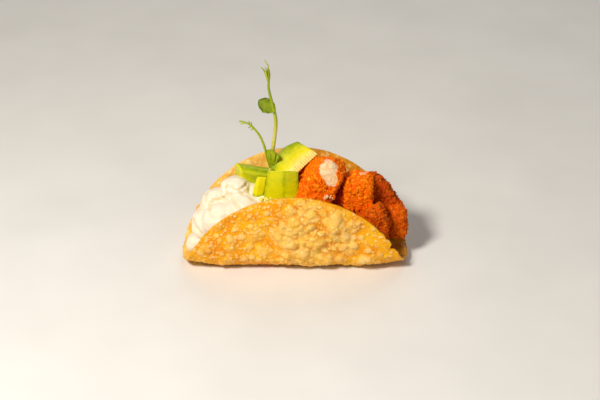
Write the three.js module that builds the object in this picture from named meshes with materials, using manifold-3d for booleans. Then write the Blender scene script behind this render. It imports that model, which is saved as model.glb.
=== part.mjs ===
// A small crispy taco: a round fried wrapper folded into a leaning trough, filled with a dollop of
// white cream, cucumber batons, crumbed chicken pieces and a pea shoot.
// Millimetres, +Z up. x runs along the fold, y from the low front wall to the tall back wall, and the
// origin lies on the flat strip that the fold rests on.
import * as THREE from "three";
import { mergeVertices } from "three/addons/utils/BufferGeometryUtils.js";
import Module from "manifold-3d";

const wasm = await Module();
wasm.setup();

// ---------------------------------------------------------------- driving dimensions
const WRAPPER_RADIUS = 45;
const WRAPPER_THICKNESS = 1.0;
const FOLD_OFFSET = 4.4; // the fold lies this far in front of the wrapper's middle
const RIM_SKEW = 0.012; // the back of the rim sits a little to the right of the front
// Slope of the wall in degrees, at distances from the fold: a flat strip, a round turn, then the wall.
const FRONT_SLOPES = [[0, 0], [1.5, 0], [8.6, 45], [14.2, 86], [20, 88], [28, 86], [38, 94], [60, 100]];
const BACK_SLOPES = [[0, 0], [6.8, 0], [9.6, 42], [13.6, 61], [24, 63], [36, 65], [50, 68], [60, 70]];
const PROFILE_STEP = 0.2;
const PROFILE_LENGTH = 60;
const END_LIFT = 2.4; // how far the fold curls up at its two ends
const END_LIFT_START = 30;
const END_LIFT_HEIGHT = 14;
const SWAY = 0.45; // slow waviness of the walls
const RIM_FADE = 3; // blisters die away this near the rim
const SHELL_GRID = 35;
const GAP = 0.3; // between neighbours that touch
const TRIM_GRID = 16; // the coarser wrapper that the filling is trimmed by
const TRIM_CLEARANCE = 0.9; // from the wrapper's mean inner face, more than its blisters rise
const TRIM_DEPTH = 9; // how far past the wall a filling is trimmed

// Blisters of the fried dough: counts, sizes and seeds of the random ones.
const OUTER_BLISTERS = { count: 30, least: 2.8, most: 4.4, rise: 0.22, seed: 11 };
const INNER_BLISTERS = { count: 24, least: 2.8, most: 3.8, rise: 0.12, seed: 23 };
// Large puffs of the front wall: x, distance up from the fold, radius, rise.
const FRONT_PUFFS = [
  [-2.2, 15, 3.4, 1.2],
  [1, 29, 6.5, 1.0],
  [-4, 22, 5, 0.9],
  [8, 21, 5.5, 1.1],
  [16, 27, 5.5, 1.0],
  [13, 13.5, 4.6, 0.9],
  [26, 11, 3.6, 0.7],
  [3, 11.5, 4.2, 0.6],
  [-15, 24, 3.6, 0.7],
  [-26, 12, 3.4, 0.6],
];

const COLOURS = {
  shell: 0xe2a144,
  cream: 0xf7ecd8,
  cucumber: 0xc9cf3a,
  chicken: 0xd9641a,
  pea: 0x6f8f1e,
};
const ROUGHNESS = { shell: 0.45, cream: 0.35, cucumber: 0.3, chicken: 0.7, pea: 0.5 };

// ---------------------------------------------------------------- solids and meshes
function solidOf(geometry) {
  const bare = new THREE.BufferGeometry().setAttribute("position", geometry.getAttribute("position"));
  if (geometry.index) bare.setIndex(geometry.index);
  const merged = mergeVertices(bare, 1e-4);
  return new wasm.Manifold(
    new wasm.Mesh({
      numProp: 3,
      vertProperties: merged.attributes.position.array,
      triVerts: new Uint32Array(merged.index.array),
    }),
  );
}

function geometryOf(solid) {
  const mesh = solid.getMesh();
  const points = new Float32Array(mesh.numVert * 3);
  for (let i = 0; i < mesh.numVert; i++) {
    points.set(mesh.vertProperties.subarray(i * mesh.numProp, i * mesh.numProp + 3), i * 3);
  }
  return new THREE.BufferGeometry()
    .setAttribute("position", new THREE.BufferAttribute(points, 3))
    .setIndex(new THREE.BufferAttribute(mesh.triVerts, 1));
}

function indexedGeometry(points, faces) {
  const flat = points.flatMap((p) => [p.x, p.y, p.z]);
  return new THREE.BufferGeometry()
    .setAttribute("position", new THREE.BufferAttribute(new Float32Array(flat), 3))
    .setIndex(faces.flat());
}

function largestPart(solid) {
  return solid.decompose().sort((a, b) => b.volume() - a.volume())[0];
}

// Position in mm and turns about x, y and z in degrees, as one matrix.
function placement(position, degrees) {
  const turn = new THREE.Euler(...degrees.map(THREE.MathUtils.degToRad));
  return new THREE.Matrix4().compose(
    new THREE.Vector3(...position),
    new THREE.Quaternion().setFromEuler(turn),
    new THREE.Vector3(1, 1, 1),
  );
}

// A frame at one point whose y axis runs to another point and whose z axis faces a third direction.
function framing(from, to, facing) {
  const origin = new THREE.Vector3(...from);
  const along = new THREE.Vector3(...to).sub(origin).normalize();
  const side = along.clone().cross(new THREE.Vector3(...facing)).normalize();
  return new THREE.Matrix4().makeBasis(side, along, side.clone().cross(along)).setPosition(origin);
}

// ---------------------------------------------------------------- numbers
// Seeded random draws from 0 to 1.
function seededDraws(seed) {
  let state = seed >>> 0;
  return () => {
    state = (state + 0x6d2b79f5) >>> 0;
    let t = Math.imul(state ^ (state >>> 15), state | 1);
    t ^= t + Math.imul(t ^ (t >>> 7), t | 61);
    return ((t ^ (t >>> 14)) >>> 0) / 4294967296;
  };
}

function smooth(low, high, value) {
  return THREE.MathUtils.smoothstep(value, low, high);
}

function lookUp(table, at) {
  const next = table.findIndex(([a]) => a > at);
  if (next < 0) return table.at(-1)[1];
  const [a, va] = table[next - 1];
  const [b, vb] = table[next];
  return va + ((vb - va) * (at - a)) / (b - a);
}

// ---------------------------------------------------------------- the wrapper's bent surface
function walkUp(slopes) {
  const walk = [{ y: 0, z: 0 }];
  for (let i = 1; i * PROFILE_STEP <= PROFILE_LENGTH; i++) {
    const slope = THREE.MathUtils.degToRad(lookUp(slopes, (i - 0.5) * PROFILE_STEP));
    const last = walk.at(-1);
    walk.push({ y: last.y + Math.cos(slope) * PROFILE_STEP, z: last.z + Math.sin(slope) * PROFILE_STEP });
  }
  return walk;
}
const FRONT_WALK = walkUp(FRONT_SLOPES);
const BACK_WALK = walkUp(BACK_SLOPES);

// The outer face at a signed distance from the fold, back positive, with the normal into the trough.
function profileAt(distance) {
  const front = distance < 0;
  const walk = front ? FRONT_WALK : BACK_WALK;
  const at = Math.abs(distance) / PROFILE_STEP;
  const i = Math.min(Math.floor(at), walk.length - 2);
  const share = at - i;
  const side = front ? -1 : 1;
  const y = side * (walk[i].y + (walk[i + 1].y - walk[i].y) * share);
  const z = walk[i].z + (walk[i + 1].z - walk[i].z) * share;
  const slope = THREE.MathUtils.degToRad(lookUp(front ? FRONT_SLOPES : BACK_SLOPES, Math.abs(distance)));
  return { y, z, ny: -side * Math.sin(slope), nz: Math.cos(slope) };
}

// Blisters as {x, s, radius, rise}, thrown at random over the wrapper without crowding. s runs across
// the fold from the wrapper's middle.
function throwBlisters({ count, least, most, rise, seed }) {
  const draw = seededDraws(seed);
  const made = [];
  for (let tries = 0; made.length < count && tries < count * 20; tries++) {
    const angle = draw() * 2 * Math.PI;
    const out = WRAPPER_RADIUS * Math.sqrt(draw());
    const radius = least + (most - least) * draw() ** 2;
    const blister = { x: out * Math.cos(angle), s: out * Math.sin(angle), radius, rise: radius * rise };
    const apart = (b) => Math.hypot(b.x - blister.x, b.s - blister.s) > 0.9 * (b.radius + radius);
    if (made.every(apart)) made.push(blister);
  }
  return made;
}

const OUTER = [
  ...FRONT_PUFFS.map(([x, up, radius, rise]) => ({ x, s: -FOLD_OFFSET - up, radius, rise })),
  ...throwBlisters(OUTER_BLISTERS),
];
const INNER = throwBlisters(INNER_BLISTERS);

function blisterRise(blisters, x, s) {
  return blisters.reduce((highest, b) => {
    const near = Math.hypot(x - b.x, s - b.s) / b.radius;
    return near < 1 ? Math.max(highest, b.rise * (1 - near * near)) : highest;
  }, 0);
}

function sway(x, s) {
  const wave =
    Math.sin(0.21 * x + 1.3) * Math.cos(0.17 * s + 0.4) + 0.6 * Math.sin(0.11 * x - 0.27 * s + 2);
  return SWAY * wave * smooth(7, 16, Math.abs(s + FOLD_OFFSET));
}

// The bent wrapper at a and b, which run from -1 to 1 over a square that is mapped to the round
// wrapper. lift is the height above the outer face, into the trough; bulge is a blister's height.
function wrapperPoint(a, b, radius, lift, blisters, inward) {
  const x = radius * a * Math.sqrt(1 - (b * b) / 2);
  const s = radius * b * Math.sqrt(1 - (a * a) / 2);
  const edge = smooth(0, RIM_FADE, radius - Math.hypot(x, s));
  const bulge = inward * edge * blisterRise(blisters, x, s);
  const p = profileAt(s + FOLD_OFFSET);
  const rise = lift + sway(x, s) * edge + bulge;
  const curl = END_LIFT * smooth(END_LIFT_START, WRAPPER_RADIUS, Math.abs(x));
  const z = p.z + p.nz * rise + curl * Math.max(0, 1 - p.z / END_LIFT_HEIGHT);
  return new THREE.Vector3(x + RIM_SKEW * s, p.y + p.ny * rise, z);
}

// A closed solid between two faces, each given as a function of a and b on an n by n square.
function sheetSolid(outerFace, innerFace, n) {
  const points = [];
  for (const face of [outerFace, innerFace]) {
    for (let i = 0; i <= n; i++) {
      for (let j = 0; j <= n; j++) points.push(face((2 * i) / n - 1, (2 * j) / n - 1));
    }
  }
  const outer = (i, j) => i * (n + 1) + j;
  const inner = (i, j) => (n + 1) ** 2 + outer(i, j);
  const faces = [];
  for (let i = 0; i < n; i++) {
    for (let j = 0; j < n; j++) {
      faces.push([outer(i, j), outer(i, j + 1), outer(i + 1, j)]);
      faces.push([outer(i + 1, j), outer(i, j + 1), outer(i + 1, j + 1)]);
      faces.push([inner(i, j), inner(i + 1, j), inner(i, j + 1)]);
      faces.push([inner(i + 1, j), inner(i + 1, j + 1), inner(i, j + 1)]);
    }
  }
  const border = [];
  for (let i = 0; i < n; i++) border.push([i, 0]);
  for (let j = 0; j < n; j++) border.push([n, j]);
  for (let i = n; i > 0; i--) border.push([i, n]);
  for (let j = n; j > 0; j--) border.push([0, j]);
  border.forEach(([i, j], k) => {
    const [i2, j2] = border[(k + 1) % border.length];
    faces.push([outer(i, j), outer(i2, j2), inner(i, j)]);
    faces.push([inner(i, j), outer(i2, j2), inner(i2, j2)]);
  });
  return solidOf(indexedGeometry(points, faces));
}

function shellSolid() {
  const outerFace = (a, b) => {
    const point = wrapperPoint(a, b, WRAPPER_RADIUS, 0, OUTER, -1);
    point.z = Math.max(0, point.z); // the fold rests on a true flat
    return point;
  };
  const innerFace = (a, b) => wrapperPoint(a, b, WRAPPER_RADIUS, WRAPPER_THICKNESS, INNER, 1);
  return sheetSolid(outerFace, innerFace, SHELL_GRID);
}

// What the filling must keep out of: the wrapper itself, thickened outwards.
function trimSolid() {
  const radius = WRAPPER_RADIUS + 1;
  const outerFace = (a, b) => wrapperPoint(a, b, radius, -TRIM_DEPTH, [], 1);
  const innerFace = (a, b) => wrapperPoint(a, b, radius, WRAPPER_THICKNESS + TRIM_CLEARANCE, [], 1);
  return sheetSolid(outerFace, innerFace, TRIM_GRID);
}

// ---------------------------------------------------------------- crumbed chicken
// Centre and half sizes in mm, turns in degrees. A higher power is squarer; grid sets the facets.
// Each cut flattens a piece beyond a distance from its centre, towards a direction.
const CHICKEN = [
  {
    centre: [9.8, 5.6, 30.2],
    half: [8.6, 8.6, 12.6],
    turn: [0, 38, 0],
    power: 3.2,
    cuts: [
      { towards: [0.9, -0.2, -0.37], distance: 6.2 },
      { towards: [0, 0.5, 0.87], distance: 11.2 },
      { towards: [1, 0, 0.25], distance: 11.2 },
    ],
    seed: 3,
    grid: 8,
  },
  { centre: [24.5, 5, 28.2], half: [5.7, 5.8, 6.9], turn: [-6, 2, 4], power: 5.5, seed: 5, grid: 7 },
  { centre: [34.2, 11.4, 22.8], half: [5, 5.4, 10.2], turn: [-12, -37, 0], power: 3.4, seed: 7, grid: 7 },
  { centre: [40.5, 6.5, 14.4], half: [4.3, 5.4, 7.2], turn: [-10, -6, 0], power: 3, seed: 9, grid: 6 },
  {
    centre: [30.7, -0.6, 13.6],
    half: [6, 5.2, 12.4],
    turn: [0, -5, 0],
    power: 3.8,
    cuts: [{ towards: [-0.48, 0.44, 0.76], distance: 8.6 }],
    seed: 13,
    grid: 6,
  },
  { centre: [18.8, 5, 16], half: [5.4, 5.8, 16], turn: [0, 6, 0], power: 3.2, seed: 17, grid: 6 },
];
const CUT_SOFTNESS = 0.15; // the share of what stood beyond a cut that still swells out of it
const CRAG_COUNT = 46;
const CRAG_RISE = 0.07;
const CRAG_WIDTHS = [0.17, 0.36]; // least and most, in radians seen from the middle
const CUTTER_GRID = 5; // a grown piece only cuts its neighbours, so it has fewer facets
const CUTTER_EXTRA = 0.7; // and stands out by this more, as its flats cut its corners

function crags(seed) {
  const draw = seededDraws(seed);
  const [least, most] = CRAG_WIDTHS;
  return Array.from({ length: CRAG_COUNT }, () => {
    const up = 2 * draw() - 1;
    const angle = 2 * Math.PI * draw();
    const flat = Math.sqrt(1 - up * up);
    const towards = new THREE.Vector3(flat * Math.cos(angle), flat * Math.sin(angle), up);
    return { towards, width: least + (most - least) * draw(), rise: CRAG_RISE * (1.3 * draw() - 0.3) };
  });
}

function chickenPiece({ centre, half, turn, power, cuts = [], seed, grid }, grow) {
  const facets = grow > 0 ? CUTTER_GRID : grid;
  const geometry = new THREE.BoxGeometry(2, 2, 2, facets, facets, facets);
  const position = geometry.getAttribute("position");
  const bumps = crags(seed);
  const extra = grow > 0 ? grow + CUTTER_EXTRA : 0;
  const turned = placement([0, 0, 0], turn);
  const point = new THREE.Vector3();
  for (let i = 0; i < position.count; i++) {
    const d = point.fromBufferAttribute(position, i).normalize();
    const sum = d.toArray().reduce((total, v, k) => total + Math.abs(v / (half[k] + extra)) ** power, 0);
    const lump = (b) => b.rise * Math.exp(-((d.angleTo(b.towards) / b.width) ** 2));
    const lumps = bumps.reduce((total, b) => total + lump(b), 0);
    d.multiplyScalar(sum ** (-1 / power) * (1 + lumps)).applyMatrix4(turned);
    for (const { towards, distance } of cuts) {
      const direction = new THREE.Vector3(...towards).normalize();
      const beyond = Math.max(0, d.dot(direction) - distance - extra);
      d.addScaledVector(direction, -(1 - CUT_SOFTNESS) * beyond);
    }
    position.setXYZ(i, d.x, d.y, d.z);
  }
  return solidOf(geometry.translate(...centre));
}

// ---------------------------------------------------------------- cucumber
// A straight piece of a section given as [x, y] points, from z 0 to its length.
function baton(section, length) {
  const shape = new THREE.Shape(section.map(([x, y]) => new THREE.Vector2(x, y)));
  return new THREE.ExtrudeGeometry(shape, { depth: length, steps: 1, bevelEnabled: false });
}

// Widens a baton evenly from its top end to its foot, by share at the foot.
function flare(geometry, share) {
  geometry.computeBoundingBox();
  const { min, max } = geometry.boundingBox;
  const position = geometry.getAttribute("position");
  for (let i = 0; i < position.count; i++) {
    const down = (max.z - position.getZ(i)) / (max.z - min.z);
    position.setX(i, position.getX(i) * (1 + share * down));
  }
}

// Cuts a baton's top end aslant through its axis: it drops towards +x and +y by the slopes given.
function slantTop(geometry, [slopeX, slopeY]) {
  geometry.computeBoundingBox();
  const top = geometry.boundingBox.max.z;
  const position = geometry.getAttribute("position");
  for (let i = 0; i < position.count; i++) {
    const drop = slopeX * position.getX(i) + slopeY * position.getY(i);
    if (position.getZ(i) === top) position.setZ(i, top - drop);
  }
}

// A thick slice cut lengthwise into a wedge: skin on the arc, straight cut sides, and a notched edge
// where the seeds sat. The section's origin is the arc's centre and its y axis points out through the skin.
const WEDGE = {
  radius: 13.7,
  skinFrom: 31, // degrees clockwise from the section's y axis
  skinTo: -33,
  arcSteps: 12,
  seedEdge: 2.8, // distance from the arc's centre
  seedEdgeEnds: [-6.5, 9.5],
  sockets: 8,
  socketDepth: 0.35,
  thickness: 7,
  spin: 43, // in its own plane, so that the skin faces up and left
  lean: 57,
  place: [3.9, 4.7, 35.6],
};
function cucumberWedge(grow) {
  const section = [];
  for (let i = 0; i <= WEDGE.arcSteps; i++) {
    const share = i / WEDGE.arcSteps;
    const angle = THREE.MathUtils.degToRad(WEDGE.skinFrom + (WEDGE.skinTo - WEDGE.skinFrom) * share);
    const radius = WEDGE.radius + grow;
    section.push([radius * Math.sin(angle) + grow * (1 - 2 * share), radius * Math.cos(angle)]);
  }
  const [left, right] = WEDGE.seedEdgeEnds;
  for (let i = 0; i <= WEDGE.sockets * 2; i++) {
    const across = left - grow + ((right - left + 2 * grow) * i) / (WEDGE.sockets * 2);
    section.push([across, WEDGE.seedEdge - grow + (i % 2) * WEDGE.socketDepth]);
  }
  const geometry = baton(section, WEDGE.thickness + 2 * grow);
  geometry.translate(0, 0, -WEDGE.thickness - grow);
  geometry.rotateZ(THREE.MathUtils.degToRad(WEDGE.spin));
  return solidOf(geometry.applyMatrix4(placement(WEDGE.place, [WEDGE.lean, 0, 0])));
}

// The upright block with two peeled facets towards the front, wider at its foot.
const BLOCK = { length: 16.2, flare: 0.24, slant: [0, 0.45], top: [-4.4, -0.2, 40.4], turn: [-9, 3, 2] };
function cucumberBlock(grow) {
  const section = [
    [-6.1 - grow, 1.5 - grow],
    [0.4, -0.1 - grow],
    [5.7 + grow, 1.0 - grow],
    [5.3 + grow, 5.6 + grow],
    [2.4, 6.9 + grow],
    [-3.4, 6.9 + grow],
    [-5.6 - grow, 5.4 + grow],
  ];
  const geometry = baton(section, BLOCK.length + 2 * grow);
  geometry.translate(0, 0, -BLOCK.length - grow);
  flare(geometry, BLOCK.flare);
  slantTop(geometry, BLOCK.slant);
  return solidOf(geometry.applyMatrix4(placement(BLOCK.top, BLOCK.turn)));
}

// The short nub beside the block.
const NUB = {
  size: [7, 6, 8.2],
  bevel: 1,
  flare: 0.35,
  slant: [0, 0.4],
  centre: [-11.8, 3.2, 31.3],
  turn: [-6, 6, 0],
};
function cucumberNub(grow) {
  const [w, d, h] = NUB.size.map((v) => v / 2 + grow);
  const section = [
    [-w, -d + NUB.bevel],
    [-w + NUB.bevel, -d],
    [w - NUB.bevel, -d],
    [w, -d + NUB.bevel],
    [w, d - NUB.bevel],
    [w - NUB.bevel, d],
    [-w + NUB.bevel, d],
    [-w, d - NUB.bevel],
  ];
  const geometry = baton(section, 2 * h);
  geometry.translate(0, 0, -h);
  flare(geometry, NUB.flare);
  slantTop(geometry, NUB.slant);
  return solidOf(geometry.applyMatrix4(placement(NUB.centre, NUB.turn)));
}

// The stick that lies along the back wall, its skin upwards and its free end cut aslant. Its section's
// x axis points to the front and its y axis up.
const STICK = { from: [-10.6, 11.2, 31.8], to: [-22.8, 12.4, 33.1], slant: [0.55, -0.15] };
function cucumberStick(grow) {
  const section = [
    [3.1 + grow, -3 - grow],
    [3.4 + grow, 2.2 + grow],
    [1.2, 3.3 + grow],
    [-1.6, 2.9 + grow],
    [-3.2 - grow, 1.2],
    [-2.6 - grow, -3.2 - grow],
  ];
  const from = new THREE.Vector3(...STICK.from);
  const along = new THREE.Vector3(...STICK.to).sub(from);
  const geometry = baton(section, along.length() + 2 * grow);
  geometry.translate(0, 0, -grow);
  slantTop(geometry, STICK.slant);
  const forward = along.clone().normalize();
  const side = new THREE.Vector3(0, 0, 1).cross(forward).normalize();
  const up = forward.clone().cross(side);
  const frame = new THREE.Matrix4().makeBasis(side, up, forward).setPosition(from);
  return solidOf(geometry.applyMatrix4(frame));
}

// ---------------------------------------------------------------- pea shoot
// A tube through points whose radius runs evenly from its root to its tip.
function taperedTube({ points, root, tip, steps, sides }, grow) {
  const curve = new THREE.CatmullRomCurve3(points.map((p) => new THREE.Vector3(...p)));
  const frames = curve.computeFrenetFrames(steps);
  const ring = [];
  for (let i = 0; i <= steps; i++) {
    const centre = curve.getPointAt(i / steps);
    const radius = root + ((tip - root) * i) / steps + grow;
    for (let k = 0; k < sides; k++) {
      const angle = (2 * Math.PI * k) / sides;
      const point = centre.clone().addScaledVector(frames.normals[i], radius * Math.cos(angle));
      ring.push(point.addScaledVector(frames.binormals[i], radius * Math.sin(angle)));
    }
  }
  const faces = [];
  for (let i = 0; i < steps; i++) {
    for (let k = 0; k < sides; k++) {
      const k2 = (k + 1) % sides;
      faces.push([i * sides + k, i * sides + k2, (i + 1) * sides + k]);
      faces.push([i * sides + k2, (i + 1) * sides + k2, (i + 1) * sides + k]);
    }
  }
  for (let k = 1; k < sides - 1; k++) {
    faces.push([0, k + 1, k]);
    faces.push([steps * sides, steps * sides + k, steps * sides + k + 1]);
  }
  return solidOf(indexedGeometry(ring, faces));
}

// A thin cupped leaf, both faces split alike, on the frame from its foot to its tip.
const LEAF_GRID = 5;
const LEAF_THICKNESS = 0.5;
function leafSolid({ foot, tip, facing, width, widest, cup }, grow) {
  const length = new THREE.Vector3(...foot).distanceTo(new THREE.Vector3(...tip));
  const shape = Math.log(0.5) / Math.log(widest);
  const frame = framing(foot, tip, facing);
  const face = (lift) => (a, b) => {
    const t = (b + 1) / 2;
    const half = (width / 2) * (0.14 + 0.86 * Math.sin(Math.PI * t ** shape) ** 0.7);
    const bend = cup * a * a + 0.2 * Math.sin(7 * t + 2.5 * a) * Math.abs(a);
    return new THREE.Vector3(half * a, length * t, bend + lift).applyMatrix4(frame);
  };
  const half = LEAF_THICKNESS / 2 + grow;
  return sheetSolid(face(-half), face(half), LEAF_GRID);
}

// The main stem, the side stem, three forks at the main tip and one at the side tip.
const STEMS = [
  {
    points: [
      [-11.2, 9.4, 28],
      [-9.5, 9, 37],
      [-8.9, 9, 44],
      [-8, 9, 51],
      [-7.5, 9, 56.4],
      [-7.8, 9, 60.4],
      [-8.6, 9, 64.2],
      [-9.7, 9, 69],
      [-10.2, 9, 72.3],
      [-10.1, 9, 75.8],
    ],
    root: 0.95,
    tip: 0.42,
    steps: 14,
    sides: 6,
  },
  {
    points: [
      [-9.7, 9, 36.4],
      [-10.7, 9, 40.5],
      [-12.3, 9, 47],
      [-13.8, 9, 51],
      [-15.6, 9, 53.7],
      [-17.3, 9, 55.7],
      [-19.7, 9, 57.1],
      [-21.8, 9, 57.5],
    ],
    root: 0.6,
    tip: 0.3,
    steps: 9,
    sides: 5,
  },
  {
    points: [[-10.1, 9, 75], [-10.5, 8.7, 79.6], [-10.3, 8.5, 82], [-11.4, 8.4, 84]],
    root: 0.5,
    tip: 0.26,
    steps: 4,
    sides: 4,
  },
  {
    points: [[-10.1, 9, 75], [-11.1, 9.2, 78.2], [-12.6, 9.4, 80.8]],
    root: 0.45,
    tip: 0.26,
    steps: 3,
    sides: 4,
  },
  {
    points: [[-10.1, 9, 75], [-10.8, 8.4, 78.4], [-11.1, 7.7, 81.2]],
    root: 0.5,
    tip: 0.3,
    steps: 3,
    sides: 4,
  },
  {
    points: [[-17, 9, 55.5], [-18.6, 8.6, 56], [-20.4, 8.3, 55.9]],
    root: 0.4,
    tip: 0.26,
    steps: 3,
    sides: 4,
  },
];
// The leaf high on the main stem, then the two stipules that clasp it at the fork.
const LEAVES = [
  {
    foot: [-7.9, 9, 62.4],
    tip: [-13.8, 8.6, 66.4],
    facing: [0.2, -0.9, 0.35],
    width: 6,
    widest: 0.52,
    cup: 0.9,
  },
  {
    foot: [-9.4, 8.6, 35.4],
    tip: [-10.7, 7, 46.4],
    facing: [-0.3, -1, 0.2],
    width: 3.5,
    widest: 0.78,
    cup: 0.8,
  },
  {
    foot: [-9.4, 8.4, 35.4],
    tip: [-6.8, 6.4, 44.8],
    facing: [0.4, -1, 0.1],
    width: 3.5,
    widest: 0.78,
    cup: 0.6,
  },
];

function peaShoot(grow) {
  const parts = [...STEMS.map((s) => taperedTube(s, grow)), ...LEAVES.map((l) => leafSolid(l, grow))];
  return parts.reduce((all, part) => all.add(part));
}

// ---------------------------------------------------------------- cream
// The bed along the bottom of the trough, then the dollop's lobes: centre and half sizes.
const CREAM_LOBES = [
  { centre: [-16, 2.4, 8.5], half: [25, 11.5, 9] },
  { centre: [7, 3, 9], half: [17, 9.5, 9.5] },
  { centre: [4, -3.5, 20], half: [12, 5.5, 8.5] },
  { centre: [-23.6, 7, 26.4], half: [6.4, 7, 7.2] },
  { centre: [-31.0, 8, 20.6], half: [6.8, 7.6, 6.6] },
  { centre: [-35.6, 4.5, 13.4], half: [6, 8.2, 8] },
  { centre: [-28.2, -1.6, 18.4], half: [9, 7.4, 7.4] },
  { centre: [-20, -1, 21.2], half: [8.6, 8, 8.2] },
  { centre: [-40.6, 2.4, 6.4], half: [3.2, 4.6, 3.8] },
  { centre: [-10.5, 3, 20.5], half: [11, 10, 9.5] },
  { centre: [-17, 9, 20.5], half: [10, 9, 9.5] },
];
const CREAM_FACETS = [10, 7];

function creamSolid() {
  const lobes = CREAM_LOBES.map(({ centre, half }) => {
    const geometry = new THREE.SphereGeometry(1, ...CREAM_FACETS);
    return solidOf(geometry.scale(...half).translate(...centre));
  });
  return lobes.reduce((all, lobe) => all.add(lobe));
}

// ---------------------------------------------------------------- fitting the filling together
const taco = new THREE.Group();
function addNode(name, solid, kind) {
  const material = new THREE.MeshStandardMaterial({
    color: COLOURS[kind],
    roughness: ROUGHNESS[kind],
    metalness: 0,
  });
  const mesh = new THREE.Mesh(geometryOf(solid), material);
  mesh.name = name;
  taco.add(mesh);
}

addNode("shell", shellSolid(), "shell");

// Each filling is cut back from the shell and from those before it in this list.
const fillings = [
  ["pea_shoot", "pea", peaShoot],
  ["cucumber_block", "cucumber", cucumberBlock],
  ["cucumber_wedge", "cucumber", cucumberWedge],
  ["cucumber_nub", "cucumber", cucumberNub],
  ["cucumber_stick", "cucumber", cucumberStick],
  ...CHICKEN.map((spec, i) => [`chicken_${i + 1}`, "chicken", (grow) => chickenPiece(spec, grow)]),
  ["cream", "cream", creamSolid],
];
let taken = trimSolid();
for (const [name, kind, make] of fillings) {
  addNode(name, largestPart(make(0).subtract(taken)), kind);
  if (name !== "cream") taken = taken.add(make(GAP));
}

export default taco;
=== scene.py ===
"""Looks for a small crispy taco: a blistered fried wrapper round cream, cucumber, chicken and a pea shoot.

Shapes are worked out in millimetres in the CAD frame: x along the fold, y from the low front wall to the
tall back wall, z up from the flat under the fold. Meshes are written in metres.
"""
import math

import bmesh
import bpy
import numpy as np
from mathutils import Matrix, Vector


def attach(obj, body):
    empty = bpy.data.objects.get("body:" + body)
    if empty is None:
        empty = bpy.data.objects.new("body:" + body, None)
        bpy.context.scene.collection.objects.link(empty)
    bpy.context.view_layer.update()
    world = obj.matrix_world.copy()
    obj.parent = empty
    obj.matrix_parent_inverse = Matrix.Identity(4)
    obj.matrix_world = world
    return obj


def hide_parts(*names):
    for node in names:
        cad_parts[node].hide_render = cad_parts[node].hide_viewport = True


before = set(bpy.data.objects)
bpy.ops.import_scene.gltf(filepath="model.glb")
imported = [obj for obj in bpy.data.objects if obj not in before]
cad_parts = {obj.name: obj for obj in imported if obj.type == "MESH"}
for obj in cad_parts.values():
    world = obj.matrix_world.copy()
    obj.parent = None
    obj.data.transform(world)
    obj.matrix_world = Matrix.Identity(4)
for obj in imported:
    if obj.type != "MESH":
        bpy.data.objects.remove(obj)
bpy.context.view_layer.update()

MM = 0.001

# -------- the camera, in mm and degrees
PICTURE_WIDTH, PICTURE_HEIGHT = 600, 400
CAMERA_ELEVATION = 30.0
CAMERA_DISTANCE = 670.0
CAMERA_ASIDE = 1.93
CAMERA_ABOVE = 23.6
CAMERA_LENS = 100.0
CAMERA_SENSOR = 36.0
PIXELS_PER_RADIAN = PICTURE_WIDTH * CAMERA_LENS / CAMERA_SENSOR
MM_PER_PIXEL = CAMERA_DISTANCE / PIXELS_PER_RADIAN
TILT = math.radians(CAMERA_ELEVATION)
FORWARD = np.array([0, math.cos(TILT), -math.sin(TILT)])
UP = np.array([0, math.sin(TILT), math.cos(TILT)])

# -------- numbers, noise and places


def seeded_draws(seed):
    """The CAD's random sequence, so that its large blisters fall in the same places here."""
    mask = 0xFFFFFFFF
    state = seed & mask

    def draw():
        nonlocal state
        state = (state + 0x6D2B79F5) & mask
        t = ((state ^ (state >> 15)) * (state | 1)) & mask
        t ^= (t + (((t ^ (t >> 7)) * (t | 61)) & mask)) & mask
        return ((t ^ (t >> 14)) & mask) / 4294967296

    return draw


def smooth(low, high, value):
    """A smooth step from 0 at low to 1 at high."""
    t = np.clip((value - low) / (high - low), 0, 1)
    return t * t * (3 - 2 * t)


def between(ends, share):
    """The value a share of the way from the first end to the second."""
    return ends[0] + (ends[1] - ends[0]) * share


def unit(vectors):
    return vectors / np.maximum(np.linalg.norm(vectors, axis=-1, keepdims=True), 1e-9)


def turn_matrix(degrees):
    """Turns about x, then y, then z of the turned frame, as the CAD's placement does."""
    x, y, z = (math.radians(d) for d in degrees)
    return np.array(Matrix.Rotation(x, 3, "X") @ Matrix.Rotation(y, 3, "Y") @ Matrix.Rotation(z, 3, "Z"))


def random_turns(rng, count):
    """Rotation matrices of evenly spread random turns."""
    quaternions = unit(rng.normal(size=(count, 4)))
    w, axis = quaternions[:, :1, None], quaternions[:, 1:]
    spin = np.cross(np.eye(3), axis[:, None, :])
    return (2 * w * w - 1) * np.eye(3) + 2 * axis[:, :, None] * axis[:, None, :] + 2 * w * spin


def layered_noise(points, *layers):
    """Smooth noise at points in mm. Each layer is a height, the width of its bumps in mm and a seed."""
    total = np.zeros(len(points))
    for height, width, seed in layers:
        rng = np.random.RandomState(seed)
        waves = np.zeros(len(points))
        for _ in range(6):
            direction = unit(rng.normal(size=3)) * (2 * math.pi / width) * rng.uniform(0.6, 1.2)
            other = unit(rng.normal(size=3)) * (2 * math.pi / width) * rng.uniform(0.3, 0.7)
            phase = rng.uniform(0, 2 * math.pi, 2)
            waves += np.sin(points @ direction + phase[0] + 1.3 * np.sin(points @ other + phase[1]))
        total += height * (waves / 3)
    return total


def in_picture(points):
    """Column and row of points in the camera's picture."""
    scale = PIXELS_PER_RADIAN / (CAMERA_DISTANCE + points @ FORWARD)
    right = (points[:, 0] - CAMERA_ASIDE) * scale
    down = (CAMERA_ABOVE - points @ UP) * scale
    return np.stack([PICTURE_WIDTH / 2 + right, PICTURE_HEIGHT / 2 + down], axis=1)


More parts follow.
